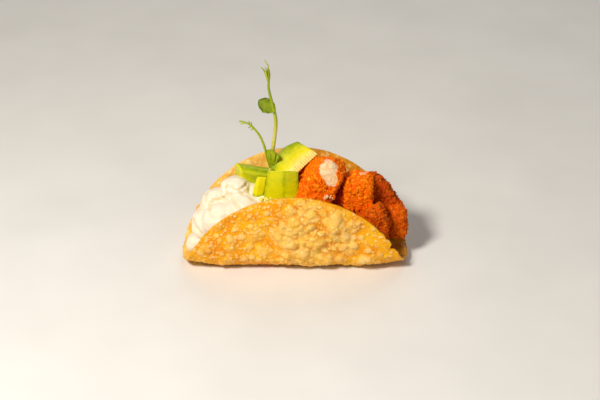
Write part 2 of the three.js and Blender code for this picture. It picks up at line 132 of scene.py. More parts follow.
def distance_to_line(places, line):
    """Distance of 2D places from a line of straight stretches."""
    line = np.array(line, float)
    nearest = np.full(len(places), np.inf)
    for start, end in zip(line[:-1], line[1:]):
        along = end - start
        share = np.clip((places - start) @ along / (along @ along), 0, 1)
        nearest = np.minimum(nearest, np.linalg.norm(places - start - np.outer(share, along), axis=1))
    return nearest


def depth_inside(places, outline):
    """Distance of 2D places from a closed outline, negative outside it."""
    closed = np.array(outline + outline[:1], float)
    inside = np.zeros(len(places), bool)
    u, v = places.T
    for (u0, v0), (u1, v1) in zip(closed[:-1], closed[1:]):
        if v0 != v1:
            crossing = u0 + (v - v0) * (u1 - u0) / (v1 - v0)
            inside ^= ((v0 > v) != (v1 > v)) & (u < crossing)
    away = distance_to_line(places, closed)
    return np.where(inside, away, -away)


class Relief:
    """Bumps over points. They don't add up: the tallest one counts at each point, and leaves its mark."""

    def __init__(self, keys, mark=0.0):
        self.height = np.zeros(len(keys))
        self.mark = np.full(len(keys), mark)
        self.order = np.argsort(keys)
        self.sorted_keys = keys[self.order]

    def band(self, centre, radius):
        """The points whose key is within a radius of a centre."""
        low, high = np.searchsorted(self.sorted_keys, (centre - radius, centre + radius))
        return self.order[low:high]

    def add(self, picked, form, mark):
        """Raises picked points to a form where that is taller than what they have."""
        taller = form > self.height[picked]
        self.height[picked[taller]] = form[taller]
        self.mark[picked[taller]] = np.broadcast_to(mark, form.shape)[taller]


# -------- grids, meshes and pieces


def grid_places(first, second):
    """Both coordinates of each point of a grid, in the order that grid_quads counts them."""
    a, b = np.meshgrid(first, second, indexing="ij")
    return a.ravel(), b.ravel()


def grid_quads(count, flip):
    i, j = grid_places(np.arange(count), np.arange(count))
    a = i * (count + 1) + j
    quads = np.stack([a, a + 1, a + count + 2, a + count + 1], axis=1)
    return quads[:, ::-1] if flip else quads


def grid_border(count):
    """The points round a grid, one after the other."""
    run = np.arange(count)
    row = count + 1
    return np.concatenate([run * row, count * row + run, (count - run) * row + count, count - run])


def halved(quads):
    """Two triangles for each quad."""
    return np.vstack([quads[:, [0, 1, 2]], quads[:, [0, 2, 3]]])


def joined(parts):
    """One set of arrays from several parts, each with its points, its faces and any values for its points."""
    points, faces, *values = zip(*parts)
    starts = np.cumsum([0] + [len(part) for part in points[:-1]])
    faces = np.vstack([part + start for part, start in zip(faces, starts)])
    return np.vstack(points), faces, *(np.concatenate(value) for value in values)


def cube_sphere(cells):
    """Directions and quads of a cube whose faces are split evenly, pushed out to a ball."""
    steps = np.linspace(-1, 1, cells + 1)
    u, v = grid_places(steps, steps)
    parts = []
    for axis in range(3):
        for side in (-1, 1):
            face = np.empty((len(u), 3))
            face[:, axis] = side
            face[:, (axis + 1) % 3] = u
            face[:, (axis + 2) % 3] = v
            parts.append((face, grid_quads(cells, flip=side > 0)))
    points, quads = joined(parts)
    _, keep, back = np.unique(np.round(points, 5), axis=0, return_index=True, return_inverse=True)
    return unit(points[keep]), back.ravel()[quads]


def face_crosses(points, triangles):
    """A vector along each triangle's normal, twice as long as the triangle's area."""
    a, b, c = (points[triangles[:, corner]] for corner in range(3))
    return np.cross(b - a, c - a)


def vertex_normals(points, triangles):
    crosses = face_crosses(points, triangles)
    normals = np.zeros_like(points)
    for corner in range(3):
        np.add.at(normals, triangles[:, corner], crosses)
    return unit(normals)


def vertex_areas(points, triangles):
    """The share of the surface, in square mm, round each point."""
    thirds = np.linalg.norm(face_crosses(points, triangles), axis=1) / 6
    return np.bincount(triangles.ravel(), np.repeat(thirds, 3), len(points))


def add_object(name, data):
    obj = bpy.data.objects.new(name, data)
    bpy.context.scene.collection.objects.link(obj)
    return obj


def new_mesh(name, points, faces, flat_from=None):
    """A mesh of triangles or quads, flat shaded from one face on."""
    mesh = bpy.data.meshes.new(name)
    mesh.from_pydata(points.tolist(), [], faces.tolist())
    smooth_faces = np.ones(len(faces), bool)
    smooth_faces[flat_from:] = flat_from is None
    mesh.polygons.foreach_set("use_smooth", smooth_faces)
    mesh.update()
    return mesh


def new_piece(name, nodes, material, points, faces, marks, flat_from=None):
    """A piece that stands for CAD nodes, from points in mm, with the marks that its material reads."""
    mesh = new_mesh(name, points * MM, faces, flat_from)
    for key, values in marks.items():
        layer = mesh.attributes.new(key, "FLOAT", "POINT")
        layer.data.foreach_set("value", np.full(len(points), values, np.float32))
    mesh.materials.append(material)
    obj = add_object(name, mesh)
    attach(obj, "root")
    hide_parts(*nodes)


def mesh_arrays(mesh):
    """A mesh's points and triangles."""
    points = np.empty(len(mesh.vertices) * 3, np.float32)
    mesh.vertices.foreach_get("co", points)
    mesh.calc_loop_triangles()
    triangles = np.empty(len(mesh.loop_triangles) * 3, np.int32)
    mesh.loop_triangles.foreach_get("vertices", triangles)
    return points.reshape(-1, 3).astype(float), triangles.reshape(-1, 3)


def remeshed(points, faces, voxel, smoothing):
    """Points and triangles after an even voxel remesh and some rounds of smoothing."""
    source = new_mesh("remesh_source", points, faces)
    obj = add_object("remesh_source", source)
    remesh = obj.modifiers.new("remesh", "REMESH")
    remesh.mode = "VOXEL"
    remesh.voxel_size = voxel
    ease = obj.modifiers.new("smooth", "SMOOTH")
    ease.factor = 0.5
    ease.iterations = smoothing
    bpy.context.view_layer.update()
    evaluated = obj.evaluated_get(bpy.context.evaluated_depsgraph_get())
    result = bpy.data.meshes.new_from_object(evaluated)
    arrays = mesh_arrays(result)
    bpy.data.objects.remove(obj)
    bpy.data.meshes.remove(source)
    bpy.data.meshes.remove(result)
    return arrays


def settled(centre, spread, count, rng, carrier):
    """Random places round a centre, moved onto the surface of a piece, and the surface's normals there."""
    bpy.context.view_layer.update()
    piece = bpy.data.objects[carrier]
    places, normals = [], []
    for place in np.array(centre) + rng.normal(size=(count, 3)) * np.array(spread):
        _, nearest, normal, _ = piece.closest_point_on_mesh(Vector(place * MM))
        places.append(np.array(nearest) / MM)
        normals.append(np.array(normal))
    return np.array(places), np.array(normals)


# -------- materials


def linear(red, green, blue):
    """A linear colour from sRGB values of 0 to 255."""

    def channel(v):
        v /= 255
        return v / 12.92 if v <= 0.04045 else ((v + 0.055) / 1.055) ** 2.4

    return (channel(red), channel(green), channel(blue), 1.0)


class Shader:
    """A material's node tree, with short calls for the nodes used here."""

    def __init__(self, name):
        self.material = bpy.data.materials.new(name)
        self.material.use_nodes = True
        self.nodes = self.material.node_tree.nodes
        self.surface = self.nodes["Principled BSDF"]
        self.place = self.nodes.new("ShaderNodeTexCoord").outputs["Object"]

    def feed(self, socket, value):
        """Links another node's output to a socket, or sets the socket to a number or a linear colour."""
        if isinstance(value, bpy.types.NodeSocket):
            self.material.node_tree.links.new(value, socket)
        else:
            socket.default_value = value

    def attribute(self, name):
        node = self.nodes.new("ShaderNodeAttribute")
        node.attribute_name = name
        return node.outputs["Fac"]

    def texture(self, kind, size_mm):
        node = self.nodes.new(kind)
        node.inputs["Scale"].default_value = 1 / (size_mm * MM)
        self.feed(node.inputs["Vector"], self.place)
        return node

    def noise(self, size_mm, detail, distortion=0.0):
        node = self.texture("ShaderNodeTexNoise", size_mm)
        node.inputs["Detail"].default_value = detail
        node.inputs["Distortion"].default_value = distortion
        return node.outputs["Fac"]

    def cells(self, size_mm):
        return self.texture("ShaderNodeTexVoronoi", size_mm).outputs["Distance"]

    def ramp(self, source, *stops):
        """Stops are pairs of a position and a grey of 0 to 1 or an sRGB colour of 0 to 255."""
        node = self.nodes.new("ShaderNodeValToRGB")
        elements = node.color_ramp.elements
        while len(elements) < len(stops):
            elements.new(0.5)
        for element, (position, colour) in zip(elements, stops):
            element.position = position
            element.color = linear(*colour) if isinstance(colour, tuple) else (colour, colour, colour, 1)
        self.feed(node.inputs["Fac"], source)
        return node.outputs["Color"]

    def mix(self, factor, first, second, blend="MIX"):
        node = self.nodes.new("ShaderNodeMix")
        node.data_type = "RGBA"
        node.blend_type = blend
        sockets = {socket.name: socket for socket in node.inputs if socket.enabled}
        for name, value in (("Factor", factor), ("A", first), ("B", second)):
            self.feed(sockets[name], value)
        return next(socket for socket in node.outputs if socket.enabled)

    def math(self, operation, first, second):
        node = self.nodes.new("ShaderNodeMath")
        node.operation = operation
        self.feed(node.inputs[0], first)
        self.feed(node.inputs[1], second)
        return node.outputs["Value"]

    def scaled(self, source, share):
        return self.math("MULTIPLY", source, share)

    def varied(self, source, noise, amount):
        """A value with noise added, which changes it by up to half the amount either way."""
        return self.math("ADD", source, self.scaled(self.math("SUBTRACT", noise, 0.5), amount))

    def bump(self, height, depth_mm, strength, under=None):
        node = self.nodes.new("ShaderNodeBump")
        node.inputs["Strength"].default_value = strength
        node.inputs["Distance"].default_value = depth_mm * MM
        self.feed(node.inputs["Height"], height)
        if under is not None:
            self.feed(node.inputs["Normal"], under)
        return node.outputs["Normal"]

    def finish(self, colour, roughness, normal=None, **constants):
        sockets = self.surface.inputs
        self.feed(sockets["Base Color"], colour)
        self.feed(sockets["Roughness"], roughness)
        if normal is not None:
            self.feed(sockets["Normal"], normal)
        for key, value in constants.items():
            sockets[key.replace("_", " ")].default_value = value
        return self.material


# -------- the fried wrapper: dimensions as in the CAD
WRAPPER_RADIUS = 45.0
WRAPPER_THICKNESS = 1.0
FOLD_OFFSET = 4.4  # how far the fold lies from the wrapper's middle
RIM_SKEW = 0.012
# Slopes in degrees at distances along each wall from the fold.
FRONT_SLOPES = [(0, 0), (1.5, 0), (8.6, 45), (14.2, 86), (20, 88), (28, 86), (38, 94), (60, 100)]
BACK_SLOPES = [(0, 0), (6.8, 0), (9.6, 42), (13.6, 61), (24, 63), (36, 65), (50, 68), (60, 70)]
PROFILE_STEP = 0.2
PROFILE_LENGTH = 60.0
END_LIFT = 2.4
END_LIFT_START = 30.0
END_LIFT_HEIGHT = 14.0
SWAY = 0.45
RIM_FADE = 3.0  # blisters die away this near the rim
OUTER_BLISTERS = dict(count=30, least=2.8, most=4.4, rise=0.22, seed=11)
INNER_BLISTERS = dict(count=24, least=2.8, most=3.8, rise=0.12, seed=23)
# Large puffs of the front wall: x, distance up from the fold, radius, rise.
FRONT_PUFFS = [
    (-2.2, 15, 3.4, 1.2), (1, 29, 6.5, 1.0), (-4, 22, 5, 0.9), (8, 21, 5.5, 1.1), (16, 27, 5.5, 1.0),
    (13, 13.5, 4.6, 0.9), (26, 11, 3.6, 0.7), (3, 11.5, 4.2, 0.6), (-15, 24, 3.6, 0.7), (-26, 12, 3.4, 0.6),
]
# -------- the fried wrapper: finer than in the CAD
INNER_GRID = 135
OUTER_GRID = 2 * INNER_GRID
FRONT_CROWDING = 0.18
# Low, wide swellings among the puffs: x, distance up from the fold, radius, rise.
FRONT_SWELLINGS = [(-15.6, 27, 2.6, 0.4), (-12.1, 15.9, 4.0, 0.7), (-25.5, 18.2, 2.8, 0.35)]
# Single bubbles of the front wall: x, distance up from the fold, radius.
FRONT_BUBBLES = [
    (-2.0, 19.6, 3.0), (-8.4, 31.8, 1.2), (-7.4, 28.8, 0.8), (-17.2, 33.1, 1.0), (-22.8, 28.3, 0.7),
    (-25.2, 22.5, 1.5), (-29.2, 21.8, 1.1), (-34.4, 22.1, 0.9), (-17.4, 18.7, 1.7), (-13.8, 16.1, 1.2),
    (-37.0, 15.5, 1.9), (-33.6, 17.0, 1.2), (-26.0, 15.0, 1.0), (-28.6, 15.0, 0.8), (-19.8, 12.8, 1.5),
    (12.4, 16.8, 0.9), (19.2, 18.6, 1.6), (23.6, 19.3, 1.9), (26.2, 23.2, 1.4), (23.6, 26.3, 1.3),
    (23.2, 22.5, 0.9), (20.2, 24.3, 2.0), (16.6, 24.0, 1.3), (18.8, 29.4, 1.4), (21.8, 29.8, 1.2),
    (27.0, 27.8, 0.8), (32.0, 21.6, 0.8), (33.6, 23.1, 0.8), (28.2, 20.7, 1.0), (33.8, 15.1, 1.3),
    (29.0, 17.3, 1.7), (36.4, 13.7, 1.0), (38.2, 15.5, 1.0), (27.6, 12.9, 2.8), (32.8, 10.5, 1.7),
    (17.4, 12.8, 1.8), (20.4, 6.5, 1.6), (3.6, 16.8, 2.6), (16.4, 31.9, 2.6), (-20.6, 23.2, 1.9),
]
BUBBLE_RISE = 0.32
# Random bubbles: the rise is a share of the radius, and they keep apart by spacing times their radii.
MEDIUM_BUBBLES = dict(count=360, least=0.6, most=1.6, rise=0.34, spacing=0.9, seed=8)
SMALL_BUBBLES = dict(count=2900, least=0.3, most=0.8, rise=0.45, spacing=0.88, seed=5)
INNER_MEDIUM_BUBBLES = dict(count=230, least=0.7, most=2.2, rise=0.3, spacing=0.85, seed=31)
INNER_SMALL_BUBBLES = dict(count=800, least=0.4, most=0.9, rise=0.35, spacing=0.85, seed=32)
PILLOWS = dict(count=540, least=1.4, most=4.2, rise=0.24, spacing=0.54, seed=12)
# How full the forms are: a low power gives a steep-sided bump.
BLISTER_POWER, BUBBLE_POWER, PILLOW_POWER = 1.6, 0.55, 1.0
# The pale, swollen zone of the front wall, which the pillows are in.
PUFF_CENTRE = (7.5, -FOLD_OFFSET - 23.0)
PUFF_HALF = (16.5, 17.5)
PUFF_RISE = 0.35
# Layers of noise: height, width in mm, seed.
PUFF_EDGE_NOISE = (0.18, 8, 5)
PUFF_LUMPS = ((0.5, 5.5, 3), (0.3, 2.8, 4))
PILLOW_WARP_X, PILLOW_WARP_S = (0.3, 4.5, 15), (0.3, 4.5, 16)
SKIN_NOISE = (0.05, 1.4, 6)
RIM_NOISE = (0.25, 2.6, 17)
RIM_WAVE = 0.06
NOTCH_ANGLE = math.atan2(-22.6, 38.9)
NOTCH_DEPTH = 1.6
NOTCH_WIDTH = 1.4
NOTCH_REACH = 4.0


def walk_up(slopes):
    """Distances along a wall from the fold, and y and z there."""
    distances = np.arange(0, PROFILE_LENGTH + PROFILE_STEP / 2, PROFILE_STEP)
    middles = distances[:-1] + PROFILE_STEP / 2
    angles = np.radians(np.interp(middles, *zip(*slopes)))
    y = np.concatenate([[0], np.cumsum(np.cos(angles) * PROFILE_STEP)])
    z = np.concatenate([[0], np.cumsum(np.sin(angles) * PROFILE_STEP)])
    return distances, y, z


FRONT_WALK = walk_up(FRONT_SLOPES)
BACK_WALK = walk_up(BACK_SLOPES)


def profile_at(distance):
    """y, z and the inward normal of the outer face at signed distances from the fold, back positive."""
    away = np.abs(distance)
    side = np.where(distance < 0, -1.0, 1.0)

    def of_wall(front, back):
        return np.where(distance < 0, np.interp(away, *front), np.interp(away, *back))

    y = of_wall(FRONT_WALK[:2], BACK_WALK[:2]) * side
    z = of_wall(FRONT_WALK[::2], BACK_WALK[::2])
    slope = np.radians(of_wall(zip(*FRONT_SLOPES), zip(*BACK_SLOPES)))
    return y, z, -side * np.sin(slope), np.cos(slope)


def scattered(draw, count, least, most, rise, spacing, skew, rise_shares=None):
    """Round bumps all over the wrapper, more often small than large: x, s, radius and rise."""
    made = np.empty((0, 4))
    while len(made) < count:
        angle = draw() * 2 * math.pi
        out = WRAPPER_RADIUS * math.sqrt(draw())
        radius = between((least, most), draw() ** skew)
        x, s = out * math.cos(angle), out * math.sin(angle)
        near = np.hypot(made[:, 0] - x, made[:, 1] - s) < spacing * (made[:, 2] + radius)
        if not near.any():
            share = between(rise_shares, draw()) if rise_shares else 1
            made = np.vstack([made, (x, s, radius, radius * rise * share)])
    return made


def cad_blisters(seed, **kind):
    """The same blisters as in the CAD."""
    return scattered(seeded_draws(seed), spacing=0.9, skew=2, **kind)


def bubbles(seed, **kind):
    """Blisters that only this script has."""
    return scattered(np.random.RandomState(seed).uniform, skew=2.2, rise_shares=(0.7, 1.2), **kind)


def blister_rise(blisters, x, s, power):
    """Height of the tallest blister over each point, and its share of that blister's full height."""
    relief = Relief(s)
    for bx, bs, radius, rise in blisters:
        picked = relief.band(bs, radius)
        near = np.hypot(x[picked] - bx, s[picked] - bs) / radius
        inside = near < 1
        form = (1 - near[inside] * near[inside]) ** power
        relief.add(picked[inside], form * rise, form)
    return relief.height, relief.mark


def sway(x, s):
    """The slow waviness of the walls."""
    wave = np.sin(0.21 * x + 1.3) * np.cos(0.17 * s + 0.4) + 0.6 * np.sin(0.11 * x - 0.27 * s + 2)
    return SWAY * wave * smooth(7, 16, np.abs(s + FOLD_OFFSET))


def end_curl(x):
    return END_LIFT * smooth(END_LIFT_START, WRAPPER_RADIUS, np.abs(x))


def wrapper_grid(count):
    """x and s of a grid of points spread over the round wrapper, closer together on the front wall."""
    steps = np.linspace(-1, 1, count + 1)
    a, b = grid_places(steps, steps - FRONT_CROWDING * (1 - steps * steps))
    x = WRAPPER_RADIUS * a * np.sqrt(1 - b * b / 2)
    s = WRAPPER_RADIUS * b * np.sqrt(1 - a * a / 2)
    return x, s


def wrapper_points(x, s, lift, bulge, edge):
    """Points of the folded wrapper that rise from its outer face by a lift and a bulge."""
    y, z, ny, nz = profile_at(s + FOLD_OFFSET)
    rise = lift + sway(x, s) * edge + bulge
    height = z + nz * rise + end_curl(x) * np.maximum(0, 1 - z / END_LIFT_HEIGHT)
    return np.stack([x + RIM_SKEW * s, y + ny * rise, height], axis=1)


def puff_mask(x, s, sheet):
    """1 in the pale, swollen zone of the front wall and 0 outside it, with a ragged edge."""
    away = np.hypot((x - PUFF_CENTRE[0]) / PUFF_HALF[0], (s - PUFF_CENTRE[1]) / PUFF_HALF[1])
    return 1 - smooth(0.75, 1.1, away + layered_noise(sheet, PUFF_EDGE_NOISE))


def rim_inset(x, s, sheet, edge):
    """How far the wrapper is drawn in at its rim, in mm: at a notch, and unevenly all round."""
    out, angle = np.hypot(x, s), np.arctan2(s, x)
    off_notch = np.abs(angle - NOTCH_ANGLE) * WRAPPER_RADIUS / NOTCH_WIDTH
    at_rim = smooth(WRAPPER_RADIUS - NOTCH_REACH, WRAPPER_RADIUS, out)
    notch = NOTCH_DEPTH * np.clip(1.2 - off_notch, 0, 1) * at_rim
    at_ends = smooth(0.55, 0.85, np.abs(x) / WRAPPER_RADIUS)
    uneven = RIM_WAVE * np.sin(23 * angle) + at_ends * layered_noise(sheet, RIM_NOISE)
    return notch + uneven * (1 - edge)


def wrapper_face(count, lift, inward, blisters, bumps, pillows):
    """Points of one face of the wrapper, and the marks that its material reads."""
    x, s = wrapper_grid(count)
    sheet = np.stack([x, s, np.zeros(x.shape)], axis=1)
    out = np.hypot(x, s)
    edge = smooth(0, RIM_FADE, WRAPPER_RADIUS - out)
    some_edge = smooth(-1.0, 1.5, WRAPPER_RADIUS - out)
    off_fold = smooth(3, 10, np.abs(s + FOLD_OFFSET))
    puff = puff_mask(x, s, sheet) if inward < 0 else np.zeros(x.shape)
    blister_height, blister_share = blister_rise(blisters, x, s, BLISTER_POWER)
    bubble_height, bubble_share = blister_rise(bumps, x, s, BUBBLE_POWER)
    warped = x + layered_noise(sheet, PILLOW_WARP_X), s + layered_noise(sheet, PILLOW_WARP_S)
    pillow_height, pillow_share = blister_rise(pillows, *warped, PILLOW_POWER)
    swelling = puff * off_fold * (pillow_height + PUFF_RISE * (1 + layered_noise(sheet, *PUFF_LUMPS)))
    bulge = (blister_height * off_fold + swelling) * edge + bubble_height * some_edge
    bulge += layered_noise(sheet, SKIN_NOISE)
    shrink = 1 - rim_inset(x, s, sheet, edge) / np.maximum(out, 1)
    points = wrapper_points(x * shrink, s * shrink, lift, inward * bulge, edge)
    marks = dict(
        blister=bubble_share**0.7,
        swollen=0.6 * blister_share,
        puff=puff,
        pillow=pillow_share,
        inner=np.full(x.shape, float(inward > 0)),
        # the inside grows paler towards the left end: 0 at x = 12, 1 at x = -6
        paler_leftward=smooth(12, -6, x),
    )
    return points, marks


def rim_triangles(inner_start):
    """Triangles that close the rim. Two steps of the outer grid's border face one of the inner grid's."""
    outer = grid_border(OUTER_GRID)
    first, middle, last = outer[::2], outer[1::2], np.roll(outer, -2)[::2]
    inner = grid_border(INNER_GRID) + inner_start
    following = np.roll(inner, -1)
    corners = ((first, middle, inner), (middle, following, inner), (middle, last, following))
    return np.vstack([np.stack(triangle, axis=1) for triangle in corners])


def build_shell():
    puffs = [(x, -FOLD_OFFSET - up, radius, rise) for x, up, radius, rise in FRONT_PUFFS + FRONT_SWELLINGS]
    placed = [(x, -FOLD_OFFSET - up, radius, radius * BUBBLE_RISE) for x, up, radius in FRONT_BUBBLES]
    outer, marks = wrapper_face(
        OUTER_GRID,
        lift=0.0,
        inward=-1,
        blisters=np.vstack([puffs, cad_blisters(**OUTER_BLISTERS)]),
        bumps=np.vstack([placed, bubbles(**MEDIUM_BUBBLES), bubbles(**SMALL_BUBBLES)]),
        pillows=bubbles(**PILLOWS),
    )
    outer[:, 2] = np.maximum(outer[:, 2], 0)
    inner, inner_marks = wrapper_face(
        INNER_GRID,
        lift=WRAPPER_THICKNESS,
        inward=1,
        blisters=cad_blisters(**INNER_BLISTERS),
        bumps=np.vstack([bubbles(**INNER_MEDIUM_BUBBLES), bubbles(**INNER_SMALL_BUBBLES)]),
        pillows=[],
    )
    marks = {key: np.concatenate([values, inner_marks[key]]) for key, values in marks.items()}
    outer_quads, inner_quads = grid_quads(OUTER_GRID, flip=False), grid_quads(INNER_GRID, flip=True)
    points, quads = joined([(outer, outer_quads), (inner, inner_quads)])
    triangles = np.vstack([halved(quads), rim_triangles(len(outer))])
    new_piece("shell_crust", ["shell"], shell_material(), points, triangles, marks)


def shell_material():
    s = Shader("fried_wrapper")
    amber = s.ramp(s.noise(9, 4, 0.6), (0.34, (234, 142, 0)), (0.5, (246, 166, 0)), (0.68, (254, 190, 8)))
    peach = s.ramp(s.noise(4, 2), (0.35, (246, 186, 84)), (0.65, (254, 216, 136)))
    pale = s.ramp(s.noise(3, 3), (0.3, (238, 180, 58)), (0.7, (250, 206, 106)))
    # the valleys between pillows keep a darker amber: the dough's own colour, deepened by painted shade
    pillows = s.mix(s.ramp(s.attribute("pillow"), (0.0, 0.0), (0.8, 1.0)), linear(222, 140, 6), pale)
    colour = s.mix(s.attribute("puff"), amber, pillows)
    colour = s.mix(s.attribute("swollen"), colour, pale)
    tops = s.ramp(s.attribute("blister"), (0.3, 0.0), (1.0, 0.85))
    colour = s.mix(tops, colour, peach)
    inside = s.ramp(s.noise(4, 4, 0.8), (0.3, (188, 116, 8)), (0.7, (222, 162, 44)))
    lighter = s.ramp(s.noise(4, 4, 0.8), (0.3, (222, 160, 48)), (0.7, (246, 202, 104)))
    # the inside is paler towards the left end
    inside = s.mix(s.attribute("paler_leftward"), inside, lighter)
    inside = s.mix(s.scaled(tops, 0.8), inside, linear(246, 206, 130))
    colour = s.mix(s.attribute("inner"), colour, inside)
    specks = s.ramp(s.noise(0.9, 2), (0.64, 0.0), (0.76, 1.0))
    colour = s.mix(s.scaled(specks, 0.25), colour, linear(196, 100, 0))
    dots = s.ramp(s.cells(1.0), (0.16, 1.0), (0.3, 0.0))
    colour = s.mix(s.scaled(dots, 0.2), colour, linear(252, 206, 100))
    normal = s.bump(dots, 0.12, 0.6, under=s.bump(s.noise(0.5, 4), 0.1, 0.5))
    roughness = s.ramp(s.noise(2.5, 3), (0.3, 0.4), (0.7, 0.6))
    return s.finish(
        colour, roughness, normal, Specular_IOR_Level=0.08, Coat_Weight=0.2, Coat_Roughness=0.18,
        Subsurface_Weight=0.15, Subsurface_Radius=(1.0, 0.5, 0.0), Subsurface_Scale=0.7 * MM,
    )


# -------- crumbed chicken
# The CAD's rounded blocks. A cut flattens one beyond a distance from its centre, in a direction of the
# CAD frame. Shade is painted shade: it darkens the crumb of the pieces that stand further back, in others'
# shadow.
CHICKEN = [
    dict(centre=(9.8, 5.6, 30.2), half=(8.6, 8.6, 12.6), turn=(0, 38, 0), power=3.2, seed=3, shade=0.0,
         cuts=[((0.9, -0.2, -0.37), 6.2), ((0, 0.5, 0.87), 11.2), ((1, 0, 0.25), 11.2)]),
    dict(centre=(24.5, 5, 28.2), half=(5.7, 5.8, 6.9), turn=(-6, 2, 4), power=5.5, seed=5, shade=0.0),
    dict(centre=(34.2, 11.4, 22.8), half=(5, 5.4, 10.2), turn=(-12, -37, 0), power=3.4, seed=7, shade=0.65),
    dict(centre=(40.5, 6.5, 14.4), half=(4.3, 5.4, 7.2), turn=(-10, -6, 0), power=3, seed=9, shade=0.4),
    dict(centre=(30.7, -0.6, 13.6), half=(6, 5.2, 12.4), turn=(0, -5, 0), power=3.8, seed=13, shade=0.5,
         cuts=[((-0.48, 0.44, 0.76), 8.6)]),
    dict(centre=(18.8, 5, 16), half=(5.4, 5.8, 16), turn=(0, 6, 0), power=3.2, seed=17, shade=0.9),
]
CUT_SOFTNESS = 0.15
CRAG_COUNT = 46
CRAG_RISE = 0.07
CRAG_WIDTHS = (0.17, 0.36)
CRUST_STEP = 0.28
CRUST_CELLS_MOST = 90
CRUST_SINK, MEAT_SINK = 0.3, 0.25  # how far the crust and the bare meat lie inside the CAD's block
CHICKEN_CLEARANCE = 0.2
LEAST_SLOPE = 25  # degrees, of the wall that a filling is kept off
CRUMBS_PER_MM2 = 2.6
CRUMB_RADII = (0.25, 0.8)
CRUMB_RISES = (0.15, 0.5)  # shares of the radius
TALL_CRUMB = 0.3
SHARDS_PER_MM2 = 1.2
SHARD_SIZES = (0.16, 0.72)
DOUGH_TONE = 0.4
# painted shade: the colour that multiplies the crumb of a piece in full shade
CRUMB_SHADE = (0.36, 0.1, 0.05, 1.0)  # what a piece in full shade is darkened by
# Where the meat shows through the crumb of the first two pieces, in the picture.
MEAT_OUTLINES = {
    1: [
        (324.2, 159), (328.3, 158.8), (333, 160.8), (337.7, 164.3), (338, 170.7), (336.5, 180.1),
        (335.4, 185.4), (330.1, 187.1), (326, 185.4), (324.2, 180.1), (321.3, 178.9), (319.3, 168.4),
        (320.1, 164.3), (323.1, 163.7),
    ],
    2: [(359, 171.4), (366.4, 171.8), (365.8, 174.6), (361, 174.4)],
}
MEAT_EDGE_NOISE = ((0.9, 2.2, 71), (0.6, 0.9, 72))
FIBRE_STRETCH = (1.6, 1, 0.45)
FIBRE_NOISE, MEAT_NOISE = (0.06, 1.3, 73), (0.08, 2.5, 74)
# Broken bits that stick to the first piece: centre, spread, count and whether they are bare meat.
CHICKEN_BITS = [
    dict(centre=(12.9, -3.7, 30.3), spread=(0.9, 0.3, 0.4), count=12, meat=1.0),
    dict(centre=(15.8, -2.8, 29.2), spread=(0.5, 0.5, 0.5), count=8, meat=0.0),
]
BIT_SIZES = (0.45, 1.1)
BITS_SEED = 19


def crags(seed):
    """The CAD's bumps of a piece: a direction, a width in radians and a rise as a share of the radius."""
    draw = seeded_draws(seed)
    made = []
    for _ in range(CRAG_COUNT):
        up = 2 * draw() - 1
        angle = 2 * math.pi * draw()
        flat = math.sqrt(1 - up * up)
        width = between(CRAG_WIDTHS, draw())
        rise = CRAG_RISE * (1.3 * draw() - 0.3)
        made.append(((flat * math.cos(angle), flat * math.sin(angle), up), width, rise))
    return made


def chicken_form(spec, cells):
    """The CAD's form of a piece, with a finer grid: points and triangles."""
    directions, quads = cube_sphere(cells)
    reach = (np.abs(directions / spec["half"]) ** spec["power"]).sum(axis=1) ** (-1 / spec["power"])
    lumps = np.zeros(len(directions))
    for towards, width, rise in crags(spec["seed"]):
        angle = np.arccos(np.clip(directions @ towards, -1, 1))
        lumps += rise * np.exp(-((angle / width) ** 2))
    points = directions * (reach * (1 + lumps))[:, None]
    points = points @ turn_matrix(spec["turn"]).T
    for towards, distance in spec.get("cuts", []):
        towards = unit(np.array(towards, float))
        beyond = np.maximum(points @ towards - distance, 0)
        points -= np.outer((1 - CUT_SOFTNESS) * beyond, towards)
    return points + np.array(spec["centre"]), halved(quads)


def crumb_field(points, normals, homes, rng):
    """Height over each point of the crumbs that sit on the home points, and the highest one's tone."""
    relief = Relief(points[:, 2], DOUGH_TONE)
    for home in homes:
        radius = between(CRUMB_RADII, rng.uniform() ** 1.6)
        rise = radius * rng.uniform(*CRUMB_RISES)
        axes = unit(rng.normal(size=(3, 3)))
        picked = relief.band(points[home, 2], radius)
        away = points[picked] - points[home]
        near = np.maximum(np.abs(away @ axes.T).max(axis=1), 0.75 * np.linalg.norm(away, axis=1)) / radius
        inside = (near < 1) & (normals[picked] @ normals[home] > 0.2)
        form = rise * np.minimum(1, 2.2 * (1 - near[inside]))
        relief.add(picked[inside], form, rng.uniform())
    return relief.height, relief.mark


def icosahedron():
    """Corners and triangles of an icosahedron."""
    golden = (1 + math.sqrt(5)) / 2
    corners = np.array([(a, b * golden, 0) for a in (-1, 1) for b in (-1, 1)], float)
    corners = unit(np.vstack([np.roll(corners, shift, axis=1) for shift in range(3)]))
    hull = bmesh.new()
    for corner in corners:
        hull.verts.new(corner)
    bmesh.ops.convex_hull(hull, input=hull.verts)
    hull.verts.index_update()
    triangles = np.array([[v.index for v in face.verts] for face in hull.faces])
    hull.free()
    return corners, triangles


def crumb_shards(places, normals, rng, sizes):
    """Jagged flakes that stand in a surface: points, triangles and a tone for each point."""
    corners, triangles = icosahedron()
    count = len(places)
    size = between(sizes, rng.uniform(size=count) ** 1.8)
    stretch = np.stack([np.ones(count), rng.uniform(0.5, 1, count), rng.uniform(0.3, 0.7, count)], axis=1)
    jitter = rng.uniform(0.7, 1.2, (count, len(corners), 1))
    flakes = corners * jitter * (stretch * size[:, None])[:, None, :]
    flakes = np.einsum("nij,nkj->nki", random_turns(rng, count), flakes)
    flakes += (places + normals * (0.15 * size)[:, None])[:, None, :]
    faces = triangles + (np.arange(count) * len(corners))[:, None, None]
    tones = np.repeat(rng.uniform(size=count), len(corners))
    return flakes.reshape(-1, 3), faces.reshape(-1, 3), tones


